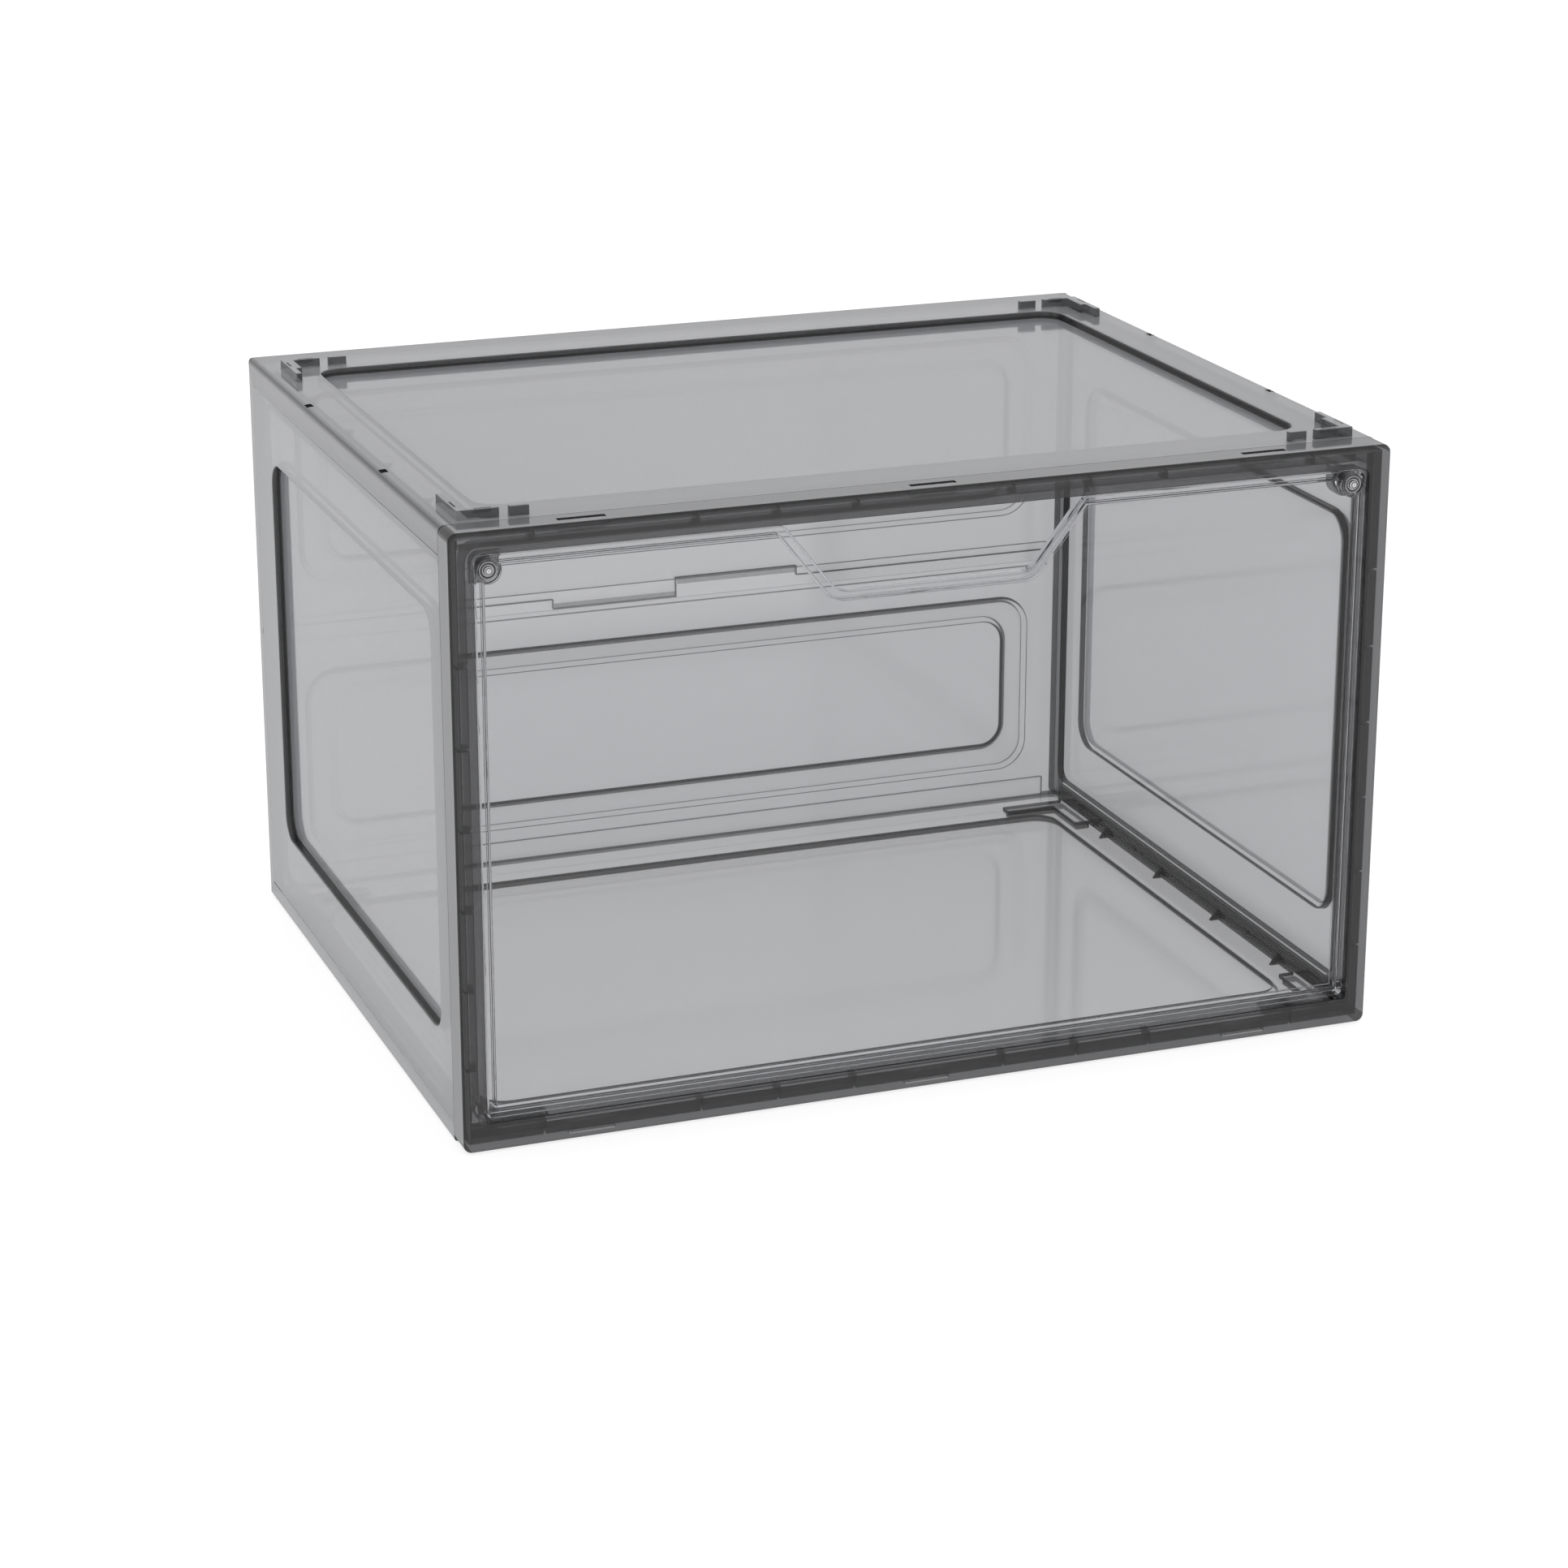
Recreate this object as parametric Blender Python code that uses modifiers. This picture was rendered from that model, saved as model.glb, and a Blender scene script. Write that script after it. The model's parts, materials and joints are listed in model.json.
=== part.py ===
"""Stackable drop-front shoe box in smoke-tinted plastic, with a clear magnetic door.

Metres, +Z up. The origin is at the middle of the base. The door faces -Y and hangs on two stub
pins near its lower edge, so it drops forward and down when its finger notch is pulled.
"""
import math

import bmesh
import bpy
from mathutils import Matrix, Vector

MM = 0.001

# Overall size and shared thicknesses
WIDTH = 350 * MM
DEPTH = 280 * MM
HEIGHT = 222 * MM
WALL = 2.2 * MM
GAP = 0.3 * MM
OVERLAP = 0.3 * MM
TINY = 0.001 * MM

HALF = WIDTH / 2
FRONT = -DEPTH / 2
BACK = DEPTH / 2
INNER = HALF - WALL

# Front frame: a channel-section ring, open to the back
FRAME_DEPTH = 12.5 * MM
FRAME_BACK = FRONT + FRAME_DEPTH
FRAME_FACE = 2.4 * MM
FRAME_CORNER = 3 * MM
FRAME_EDGE = 1.6 * MM
SIDE_RAIL = 8.6 * MM
TOP_RAIL = 8.0 * MM
BOTTOM_RAIL = 10.5 * MM
OPENING_CORNER = 3.5 * MM
OPENING_TOE = 1.0 * MM
LEAST_RADIUS = 0.4 * MM
WEB_LEG = 8 * MM
FRAME_RIB = 1.2 * MM
RIB_REACH = 5.8 * MM
RIB_PITCH = 29 * MM
RIBS_ACROSS = range(-5, 6)
RIBS_UP = range(1, 7)

# Snap tabs of the top and bottom panels, and the slots of the frame that hold them
SNAP_PITCH = 127 * MM
SNAP_SLOT = (17 * MM, 3.0 * MM)
SNAP_TAB = (16 * MM, 2.2 * MM)
SNAP_FRONT = FRONT + 5.0 * MM
SNAP_PLAY = 0.4 * MM
SNAPS = (-1, 0, 1)

# Door: a clear plate with a thick rim and a finger notch
DOOR_GAP = 0.6 * MM
DOOR_FACE = FRONT + 1.8 * MM
DOOR_RIM_DEPTH = 5.0 * MM
DOOR_RIM_WIDTH = 3.3 * MM
DOOR_PLATE = 2.0 * MM
DOOR_RECESS = 0.8 * MM
DOOR_SIDE = HALF - SIDE_RAIL - DOOR_GAP
DOOR_LOW = BOTTOM_RAIL + 1.0 * MM
DOOR_TOP = HEIGHT - TOP_RAIL - DOOR_GAP
DOOR_CORNER = 3 * MM
DOOR_TOE = 1.5 * MM
NOTCH_TOP = 56 * MM
NOTCH_BASE = 36 * MM
NOTCH_DEPTH = 25.4 * MM
NOTCH_LIP = 4 * MM
NOTCH_ROOT = 6 * MM

# Hinge: stub pins on the door, holes in the inner walls of the side rails
HINGE_Y = FRONT + 4.4 * MM
HINGE_Z = 14.5 * MM
PIN_RADIUS = 1.6 * MM
PIN_REACH = 3.4 * MM
PIN_HOLE = 1.9 * MM

# Magnetic catch in the two upper corners
CATCH_INSET = 14 * MM
CATCH_X = HALF - CATCH_INSET
CATCH_Z = HEIGHT - CATCH_INSET
BOSS_RADIUS = 4.8 * MM
BOSS_DEPTH = 5.4 * MM
DISC_RADIUS = 3.3 * MM
DISC_THICK = 1.0 * MM
DISC_BORE = 1.3 * MM
RIVET_HEAD = 1.6 * MM
RIVET_RISE = 0.8 * MM
RIVET_SHANK = 0.9 * MM
RIVET_LENGTH = 3.6 * MM
POCKET_FRONT = FRONT + 7.6 * MM
POCKET_RADIUS = 5.5 * MM
MAGNET_RADIUS = 3.6 * MM
MAGNET_THICK = 2.4 * MM
TURNED_EDGE = 0.2 * MM

# Trays that close the box: seam lines, flanges and the tongues behind them
SHELL_FRONT = FRAME_BACK + GAP
BACK_FLANGE = 6.7 * MM
TOP_FLANGE = 10.0 * MM
BASE_FLANGE = 7.0 * MM
TONGUE = 2.7 * MM
TONGUE_REACH = 4.0 * MM
TONGUE_BAND = 5.0 * MM
TONGUE_CORNER = 1.5 * MM
TONGUE_X = 160 * MM
LIP = 1.8 * MM
LIP_X = 166 * MM
PANEL_EDGE = 1.0 * MM
WEDGE = 30 * MM

# Embossed fields
FIELD_CORNER = 9 * MM
EMBOSS_WALL = 2.0 * MM
TOP_FIELD = (-155 * MM, -107 * MM, 155 * MM, 110 * MM)
TOP_SINK = 3.0 * MM
BASE_FIELD = (-157 * MM, -107 * MM, 157 * MM, 110 * MM)
BASE_SINK = 1.5 * MM
SIDE_FIELD = (-114 * MM, 36 * MM, 107 * MM, 188 * MM)
SIDE_SINK = 3.3 * MM
BEAD_SINK = 2.0 * MM
BEAD_OUTER = (158 * MM, 16 * MM, 93 * MM)
BEAD_INNER = (146 * MM, 28 * MM, 83 * MM)
BEAD_CORNER = 13 * MM

# Rails inside the floor and the roof, with their gussets
RAIL_X = 167.5 * MM
RAIL_WIDTH = 1.8 * MM
RAIL_RISE = 7.0 * MM
RAIL_ENDS = (-124 * MM, 122 * MM)
GUSSET_FIRST = -84 * MM
GUSSET_PITCH = 52 * MM
GUSSET_COUNT = 4
GUSSET_FOOT = 4 * MM
GUSSET_THICK = 1.4 * MM
RAIL_HOLE = 1.2 * MM
RAIL_HOLE_Z = 7.4 * MM
RAIL_HOLE_Y = (-58.7 * MM, 44.5 * MM)

# Windows through the roof beside its long edges, over the side panels' tongues
WINDOW_X = (171.0 * MM, 173.6 * MM)
WINDOW_LENGTH = 4.6 * MM
WINDOW_Y = (-50 * MM, 54 * MM)

# Stacking ribs on the roof and the channels under the floor that drop over them
STACK_RISE = 3.5 * MM
STACK_SIDE = 7.5 * MM
STACK_FRONT = FRONT + 16 * MM
STACK_BACK = FRONT + 257 * MM
STACK_ARM = 2.4 * MM
STACK_HEEL = 4.6 * MM
STACK_TOE = 9 * MM
STACK_LONG = 25 * MM
STACK_SHORT = 15 * MM
STACK_BAR = (18.5 * MM, 25.5 * MM)
CHANNEL_ROOM = 0.8 * MM
CHANNEL_WALL = 1.1 * MM
CHANNEL_DEEP = 4.1 * MM
CHANNEL_ROOF = 1.3 * MM

# Seam between the two halves of the back
SEAM_Z = 112 * MM
SEAM_STEP = 4 * MM
SEAM_TONGUE = 53 * MM
SEAM_LIP = (106 * MM, 116 * MM)

SMOKE = (0.10, 0.10, 0.105)
SMOKE_DARK = (0.03, 0.03, 0.032)
CLEAR = (0.86, 0.88, 0.90)
STEEL = (0.62, 0.62, 0.64)
MAGNET = (0.30, 0.30, 0.31)

AXIS_TURN = {
    "X": Matrix(((0, 0, 1, 0), (1, 0, 0, 0), (0, 1, 0, 0), (0, 0, 0, 1))),
    "Y": Matrix(((1, 0, 0, 0), (0, 0, 1, 0), (0, 1, 0, 0), (0, 0, 0, 1))),
    "Z": Matrix.Identity(4),
}


# ---------------------------------------------------------------- scene helpers

def clear_scene():
    for thing in list(bpy.data.objects):
        bpy.data.objects.remove(thing, do_unlink=True)


def new_collection(name):
    group = bpy.data.collections.new(name)
    bpy.context.scene.collection.children.link(group)
    return group


def plastic(name, color, roughness, alpha=1.0, metallic=0.0):
    material = bpy.data.materials.new(name)
    material.use_nodes = True
    shader = material.node_tree.nodes["Principled BSDF"]
    shader.inputs["Base Color"].default_value = (*color, 1)
    shader.inputs["Roughness"].default_value = roughness
    shader.inputs["Metallic"].default_value = metallic
    shader.inputs["Alpha"].default_value = alpha
    return material


def add_object(name, shape, group):
    """Turn a bmesh into an object of a collection, with its faces pointing out."""
    bmesh.ops.recalc_face_normals(shape, faces=shape.faces)
    mesh = bpy.data.meshes.new(name)
    shape.to_mesh(mesh)
    shape.free()
    thing = bpy.data.objects.new(name, mesh)
    group.objects.link(thing)
    return thing


def add_tool(name, shape):
    thing = add_object(name, shape, bpy.data.collections["shaping_solids"])
    thing.hide_render = True
    thing.display_type = "WIRE"
    return thing


def combine(target, shape, operation, name):
    """Cut a shape away from the target, or unite it with the target."""
    tool = add_tool(name, shape)
    modifier = target.modifiers.new(name, "BOOLEAN")
    modifier.operation = operation
    modifier.solver = "EXACT"
    modifier.object = tool


def cut(target, shape, name):
    combine(target, shape, "DIFFERENCE", f"{target.name}_{name}_cut")


def unite(target, shape, name):
    combine(target, shape, "UNION", f"{target.name}_{name}_add")


# ---------------------------------------------------------------- outlines and solids

def rectangle(low_a, low_b, high_a, high_b, radius=0.0):
    """Corners (a, b, radius) of a rectangle, counter-clockwise."""
    return [(low_a, low_b, radius), (high_a, low_b, radius),
            (high_a, high_b, radius), (low_a, high_b, radius)]


def grown(corners, distance):
    """Offset a counter-clockwise outline outwards, keeping its arcs concentric."""
    result = []
    for index, (a, b, radius) in enumerate(corners):
        here = Vector((a, b))
        into = (here - Vector(corners[index - 1][:2])).normalized()
        out = (Vector(corners[(index + 1) % len(corners)][:2]) - here).normalized()
        normal_in = Vector((into.y, -into.x))
        normal_out = Vector((out.y, -out.x))
        shift = (normal_in + normal_out) / (1 + normal_in.dot(normal_out)) * distance
        turn = 1 if into.x * out.y - into.y * out.x > 0 else -1
        offset_radius = max(radius + turn * distance, LEAST_RADIUS)
        result.append((a + shift.x, b + shift.y, offset_radius))
    return result


def rounded(corners, steps=4):
    """Points of an outline whose corners are rounded with arcs of their own radius."""
    points = []
    for index, (a, b, radius) in enumerate(corners):
        here = Vector((a, b))
        before = (Vector(corners[index - 1][:2]) - here).normalized()
        after = (Vector(corners[(index + 1) % len(corners)][:2]) - here).normalized()
        if radius <= 0:
            points.append(here)
            continue
        half_angle = before.angle(after) / 2
        centre = here + (before + after).normalized() * radius / math.sin(half_angle)
        start = here + before * radius / math.tan(half_angle) - centre
        end = here + after * radius / math.tan(half_angle) - centre
        first = math.atan2(start.y, start.x)
        sweep = (math.atan2(end.y, end.x) - first + math.pi) % math.tau - math.pi
        for step in range(steps + 1):
            angle = first + sweep * step / steps
            points.append(centre + Vector((math.cos(angle), math.sin(angle))) * radius)
    return points


def extruded(points, axis, low, high, soft_end=None, soft=0.0):
    """Extrude a flat outline along an axis, rounding the rim of one end if asked."""
    shape = bmesh.new()
    face = shape.faces.new([shape.verts.new((point[0], point[1], low)) for point in points])
    swept = bmesh.ops.extrude_face_region(shape, geom=[face])["geom"]
    top = [item for item in swept if isinstance(item, bmesh.types.BMVert)]
    bmesh.ops.translate(shape, verts=top, vec=(0, 0, high - low))
    if soft_end is not None:
        rim = [edge for edge in shape.edges
               if all(abs(vertex.co.z - soft_end) < 1e-7 for vertex in edge.verts)]
        bmesh.ops.bevel(shape, geom=rim, offset=soft, segments=2, profile=0.5,
                        affect="EDGES", clamp_overlap=True)
    bmesh.ops.transform(shape, matrix=AXIS_TURN[axis], verts=shape.verts)
    return shape


def ring(outer, inner, axis, low, high):
    """A closed ring between two outlines, extruded along an axis."""
    shape = bmesh.new()
    edges = []
    for corners in (outer, inner):
        verts = [shape.verts.new((point.x, point.y, low)) for point in rounded(corners)]
        edges += [shape.edges.new((verts[i - 1], verts[i])) for i in range(len(verts))]
    bridge = bmesh.ops.bridge_loops(shape, edges=edges)
    swept = bmesh.ops.extrude_face_region(shape, geom=bridge["faces"])["geom"]
    moved = [item for item in swept if isinstance(item, bmesh.types.BMVert)]
    bmesh.ops.translate(shape, verts=moved, vec=(0, 0, high - low))
    bmesh.ops.transform(shape, matrix=AXIS_TURN[axis], verts=shape.verts)
    return shape


def soften(shape, along, test, width):
    """Round the edges that run along one axis (0 to 2) and whose ends pass a test."""
    picked = [edge for edge in shape.edges
              if all(test(vertex.co) for vertex in edge.verts)
              and (edge.verts[1].co - edge.verts[0].co).normalized()[along] ** 2 > 0.99]
    bmesh.ops.bevel(shape, geom=picked, offset=width, segments=3, profile=0.5, affect="EDGES")


def boxes(*limits):
    """Separate axis-aligned boxes in one bmesh, each given by its low and high corner."""
    shape = bmesh.new()
    for low, high in limits:
        low, high = Vector(low), Vector(high)
        span = high - low
        place = Matrix.Translation((low + high) / 2) @ Matrix.Diagonal((*span, 1))
        bmesh.ops.create_cube(shape, size=1, matrix=place)
    return shape


def rods(radius, low, high, axis, centres, segments=24):
    """Separate cylinders along an axis; a centre gives the two other coordinates."""
    shape = bmesh.new()
    for a, b in centres:
        place = AXIS_TURN[axis] @ Matrix.Translation((a, b, (low + high) / 2))
        bmesh.ops.create_cone(shape, cap_ends=True, segments=segments, radius1=radius,
                              radius2=radius, depth=high - low, matrix=place)
    return shape


def merged(shapes):
    """Several bmeshes as one."""
    total = bmesh.new()
    for shape in shapes:
        mesh = bpy.data.meshes.new("piece")
        shape.to_mesh(mesh)
        shape.free()
        total.from_mesh(mesh)
        bpy.data.meshes.remove(mesh)
    return total


def mirrored_x(low, high):
    """A box and its mirror image across the middle of the object."""
    return [(low, high), ((-high[0], low[1], low[2]), (-low[0], high[1], high[2]))]


def turned(name, profile, group, segments=32):
    """Turn a closed profile (radius, height) about Z with a Screw modifier."""
    mesh = bpy.data.meshes.new(name)
    points = [(radius, 0, height) for radius, height in profile]
    open_profile = profile[0][0] == 0
    last = len(points) - 1 if open_profile else len(points)
    mesh.from_pydata(points, [(i, (i + 1) % len(points)) for i in range(last)], [])
    thing = bpy.data.objects.new(name, mesh)
    group.objects.link(thing)
    screw = thing.modifiers.new("turn", "SCREW")
    screw.steps = screw.render_steps = segments
    screw.use_merge_vertices = True
    screw.merge_threshold = 0.00001
    screw.use_smooth_shade = True
    return thing


# ---------------------------------------------------------------- front frame

def frame_outline():
    return rectangle(-HALF, 0, HALF, HEIGHT, FRAME_CORNER)


def opening_outline():
    """Opening of the frame, with tighter lower corners that the door clears as it turns."""
    side, top = HALF - SIDE_RAIL, HEIGHT - TOP_RAIL
    return [(-side, BOTTOM_RAIL, OPENING_TOE), (side, BOTTOM_RAIL, OPENING_TOE),
            (side, top, OPENING_CORNER), (-side, top, OPENING_CORNER)]


def rail_ribs():
    """Short webs across the frame's channel, clear of the snap slots and the corners."""
    front = FRONT + FRAME_FACE - OVERLAP
    back = front + RIB_REACH
    bottom = (WALL - OVERLAP, BOTTOM_RAIL - WALL + OVERLAP)
    top = (HEIGHT - TOP_RAIL + WALL - OVERLAP, HEIGHT - WALL + OVERLAP)
    limits = []
    for index in RIBS_ACROSS:
        x = index * RIB_PITCH
        if min(abs(x - snap * SNAP_PITCH) for snap in SNAPS) < SNAP_SLOT[0]:
            continue
        for low, high in (bottom, top):
            limits.append(((x - FRAME_RIB / 2, front, low), (x + FRAME_RIB / 2, back, high)))
    inner_wall = HALF - SIDE_RAIL + WALL - OVERLAP
    for index in RIBS_UP:
        z = index * RIB_PITCH + FRAME_RIB
        limits += mirrored_x((inner_wall, front, z - FRAME_RIB / 2),
                             (INNER + OVERLAP, back, z + FRAME_RIB / 2))
    return boxes(*limits)


def snap_slots():
    width, depth = SNAP_SLOT
    walls = ((-WALL, WALL + OVERLAP), (HEIGHT - WALL - OVERLAP, HEIGHT + WALL))
    limits = []
    for snap in SNAPS:
        low_x, high_x = snap * SNAP_PITCH - width / 2, snap * SNAP_PITCH + width / 2
        for low, high in walls:
            limits.append(((low_x, SNAP_FRONT, low), (high_x, SNAP_FRONT + depth, high)))
    return boxes(*limits)


def magnet_pocket(side):
    """Plate across an upper corner of the frame, rounded towards the opening."""
    inner = CATCH_X - POCKET_RADIUS
    outer = HALF - SIDE_RAIL + WALL / 2
    low = CATCH_Z - POCKET_RADIUS
    high = HEIGHT - TOP_RAIL + WALL / 2
    corners = [(inner, low, POCKET_RADIUS - OVERLAP), (outer, low, 0), (outer, high, 0),
               (inner, high, 0)]
    points = [(side * point[0], point[1]) for point in rounded(corners, 6)]
    return extruded(points, "Y", POCKET_FRONT, FRAME_BACK)


def corner_web(side):
    """Triangular web across a lower corner of the frame, behind the door."""
    edge = HALF - SIDE_RAIL + WALL / 2
    low = BOTTOM_RAIL - WALL / 2
    leg = WEB_LEG + WALL / 2
    points = [(side * edge, low), (side * (edge - leg), low), (side * edge, low + leg)]
    return extruded(points, "Y", FRAME_BACK - WALL, FRAME_BACK)


def build_front_frame(group):
    body = extruded(rounded(frame_outline()), "Y", FRONT, FRAME_BACK, FRONT, FRAME_EDGE)
    frame = add_object("front_frame", body, group)
    opening = extruded(rounded(opening_outline()), "Y", FRONT - WALL, FRAME_BACK + WALL)
    cut(frame, opening, "opening")
    channel = ring(grown(frame_outline(), -WALL), grown(opening_outline(), WALL), "Y",
                   FRONT + FRAME_FACE, FRAME_BACK + WALL)
    cut(frame, channel, "channel")
    unite(frame, rail_ribs(), "ribs")
    cut(frame, snap_slots(), "slots")
    for side in (-1, 1):
        unite(frame, magnet_pocket(side), f"pocket_{side + 1}")
        unite(frame, corner_web(side), f"web_{side + 1}")
    catch_places = [(-CATCH_X, CATCH_Z), (CATCH_X, CATCH_Z)]
    seat = POCKET_FRONT + MAGNET_THICK + 3 * GAP
    seats = rods(MAGNET_RADIUS + GAP, POCKET_FRONT - WALL, seat, "Y", catch_places)
    cut(frame, seats, "magnets")
    wall = HALF - SIDE_RAIL
    for side in (-1, 1):
        through = sorted((side * (wall - GAP), side * (wall + WALL + GAP)))
        cut(frame, rods(PIN_HOLE, *through, "X", [(HINGE_Y, HINGE_Z)]), f"pin_{side + 1}")
    return frame


# ---------------------------------------------------------------- door

def door_outline():
    floor = DOOR_TOP - NOTCH_DEPTH
    return [
        (-DOOR_SIDE, DOOR_LOW, DOOR_CORNER / 2), (DOOR_SIDE, DOOR_LOW, DOOR_CORNER / 2),
        (DOOR_SIDE, DOOR_TOP, DOOR_CORNER), (NOTCH_TOP, DOOR_TOP, NOTCH_LIP),
        (NOTCH_BASE, floor, NOTCH_ROOT), (-NOTCH_BASE, floor, NOTCH_ROOT),
        (-NOTCH_TOP, DOOR_TOP, NOTCH_LIP), (-DOOR_SIDE, DOOR_TOP, DOOR_CORNER),
    ]


def build_door(group):
    """Door with its origin on the hinge axis."""
    rim_back = DOOR_FACE + DOOR_RIM_DEPTH
    body = extruded(rounded(door_outline()), "Y", DOOR_FACE, rim_back)
    soften(body, 0, lambda co: co.y < DOOR_FACE + TINY and co.z < DOOR_LOW + TINY, DOOR_TOE)
    door = add_object("door_panel", body, group)
    field = rounded(grown(door_outline(), -DOOR_RIM_WIDTH))
    plate_front = DOOR_FACE + DOOR_RECESS
    cut(door, extruded(field, "Y", DOOR_FACE - WALL, plate_front), "front_field")
    cut(door, extruded(field, "Y", plate_front + DOOR_PLATE, rim_back + WALL), "back_field")
    places = [(-CATCH_X, CATCH_Z), (CATCH_X, CATCH_Z)]
    unite(door, rods(BOSS_RADIUS, DOOR_FACE, DOOR_FACE + BOSS_DEPTH, "Y", places), "bosses")
    pocket_floor = DOOR_FACE + DISC_THICK + 2 * GAP
    cut(door, rods(DISC_RADIUS + GAP, DOOR_FACE - WALL, pocket_floor, "Y", places), "disc_pockets")
    rivet_end = DOOR_FACE + RIVET_LENGTH + 2 * GAP
    cut(door, rods(DISC_BORE, DOOR_FACE, rivet_end, "Y", places, 16), "rivet_holes")
    for side in (-1, 1):
        reach = sorted((side * (DOOR_SIDE - WALL), side * (DOOR_SIDE + PIN_REACH)))
        unite(door, rods(PIN_RADIUS, *reach, "X", [(HINGE_Y, HINGE_Z)]), f"pin_{side + 1}")
    shift_origin(door, (0, HINGE_Y, HINGE_Z))
    return door


def shift_origin(thing, origin):
    """Move an object's origin, and those of its shaping solids, onto a joint axis."""
    thing.data.transform(Matrix.Translation(-Vector(origin)))
    thing.location = origin


# ---------------------------------------------------------------- magnetic catch

def place_turned(thing, side, front):
    """Lay a turned piece along Y, its height growing towards the back."""
    thing.rotation_euler = (-math.pi / 2, 0, 0)
    thing.location = (side * CATCH_X, front, CATCH_Z)


def build_catch(group, side, label):
    bore, rim, deep, edge = DISC_BORE, DISC_RADIUS, DISC_THICK, TURNED_EDGE
    disc_profile = [(bore, 0), (bore, deep), (rim - edge, deep), (rim, deep - edge), (rim, edge),
                    (rim - edge, 0)]
    disc = turned(f"striker_disc_{label}", disc_profile, group)
    place_turned(disc, side, DOOR_FACE + GAP)
    dome = [(RIVET_HEAD * math.sin(angle), -RIVET_RISE * math.cos(angle))
            for angle in (index * math.pi / 10 for index in range(6))]
    shank = [(RIVET_SHANK, 0.0), (RIVET_SHANK, RIVET_LENGTH), (0, RIVET_LENGTH)]
    rivet = turned(f"striker_rivet_{label}", (dome + shank)[::-1], group)
    place_turned(rivet, side, DOOR_FACE)
    rim, deep = MAGNET_RADIUS, MAGNET_THICK
    magnet_profile = [(0, 0), (rim - edge, 0), (rim, edge), (rim, deep - edge),
                      (rim - edge, deep), (0, deep)]
    magnet = turned(f"frame_magnet_{label}", magnet_profile[::-1], group)
    place_turned(magnet, side, POCKET_FRONT + GAP)
    return [disc, rivet], [magnet]


# ---------------------------------------------------------------- roof and floor trays

def mitre_wedge(rim, edge, for_tray):
    """Solid on one side of the corner mitre between a tray and the back panel.

    The mitre runs from the free rim of the flange to the tray's outer edge. The tray loses what
    lies behind it, and the back panel what lies in front of it.
    """
    start = Vector((BACK - BACK_FLANGE, rim))
    end = Vector((BACK, edge))
    along = (end - start).normalized()
    towards_back = Vector((abs(along.y), -math.copysign(along.x, along.y)))
    side = 1 if for_tray else -1
    near = -towards_back * side * GAP / 2
    far = towards_back * side * WEDGE
    points = [start - along * WEDGE + near, end + along * WEDGE + near,
              end + along * WEDGE + far, start - along * WEDGE + far]
    return extruded(points, "X", -HALF - WALL, HALF + WALL)


def snap_row(sheet, hook):
    """Three snap tabs in front of a tray's tongue, and the hooks that stand in the frame's slots."""
    width, depth = SNAP_TAB
    front = SNAP_FRONT + SNAP_PLAY
    root = SHELL_FRONT - TONGUE_REACH + OVERLAP
    tabs = []
    hooks = []
    for snap in SNAPS:
        low_x, high_x = snap * SNAP_PITCH - width / 2, snap * SNAP_PITCH + width / 2
        tabs.append(((low_x, front, sheet[0]), (high_x, root, sheet[1])))
        hooks.append(((low_x, front, hook[0]), (high_x, front + depth, hook[1])))
    return boxes(*tabs), boxes(*hooks)


def rails(foot, tip):
    """Upright rails along both sides of a tray."""
    low, high = sorted((foot, tip))
    front, back = RAIL_ENDS
    return boxes(*mirrored_x((RAIL_X, front, low), (RAIL_X + RAIL_WIDTH, back, high)))


def gussets(foot, tip):
    """Triangular webs that brace the rails."""
    root = RAIL_X + OVERLAP
    webs = []
    for side in (-1, 1):
        points = [(side * (root - GUSSET_FOOT), foot), (side * root, foot), (side * root, tip)]
        for index in range(GUSSET_COUNT):
            y = GUSSET_FIRST + index * GUSSET_PITCH
            webs.append(extruded(points, "Y", y - GUSSET_THICK / 2, y + GUSSET_THICK / 2))
    return merged(webs)


def at_corner(points, side, end):
    """Place a footprint, drawn from the corner at (0, 0) into +X and +Y, at one stacking corner."""
    line = STACK_FRONT if end < 0 else STACK_BACK
    return [(side * (HALF - STACK_SIDE - x), line - end * y) for x, y in points]


def stack_rib(side, end):
    """One L-shaped stacking rib with its stepped toe, and the short bar beside it."""
    ell = [(0, 0), (STACK_SHORT, 0), (STACK_SHORT, STACK_ARM), (STACK_HEEL, STACK_ARM),
           (STACK_HEEL, STACK_LONG - STACK_TOE), (STACK_ARM, STACK_LONG - STACK_TOE),
           (STACK_ARM, STACK_LONG), (0, STACK_LONG)]
    low, high = STACK_BAR
    bar = [(low, 0), (high, 0), (high, STACK_ARM), (low, STACK_ARM)]
    span = (HEIGHT - OVERLAP, HEIGHT + STACK_RISE)
    return merged([extruded(at_corner(points, side, end), "Z", *span) for points in (ell, bar)])


def stack_channel(side, end, room, low, high):
    """L-shaped solid that covers a stacking rib and its bar, grown by some room all round."""
    tip, arm, heel = STACK_BAR[1] + room, STACK_ARM + room, STACK_HEEL + room
    ell = [(-room, -room), (tip, -room), (tip, arm), (heel, arm), (heel, STACK_LONG + room),
           (-room, STACK_LONG + room)]
    return extruded(at_corner(ell, side, end), "Z", low, high)


def all_corners(make, *sizes):
    return merged([make(side, end, *sizes) for side in (-1, 1) for end in (-1, 1)])


def tongue(low, high):
    """Sheet of a tray that reaches forward into the frame."""
    end = SHELL_FRONT - TONGUE_REACH
    return boxes(((-TONGUE_X, end, low), (TONGUE_X, SHELL_FRONT + LIP, high)))


def roof_windows():
    limits = []
    for y in WINDOW_Y:
        low = (WINDOW_X[0], y - WINDOW_LENGTH / 2, HEIGHT - WALL - OVERLAP)
        high = (WINDOW_X[1], y + WINDOW_LENGTH / 2, HEIGHT + WALL)
        limits += mirrored_x(low, high)
    return boxes(*limits)


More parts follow.
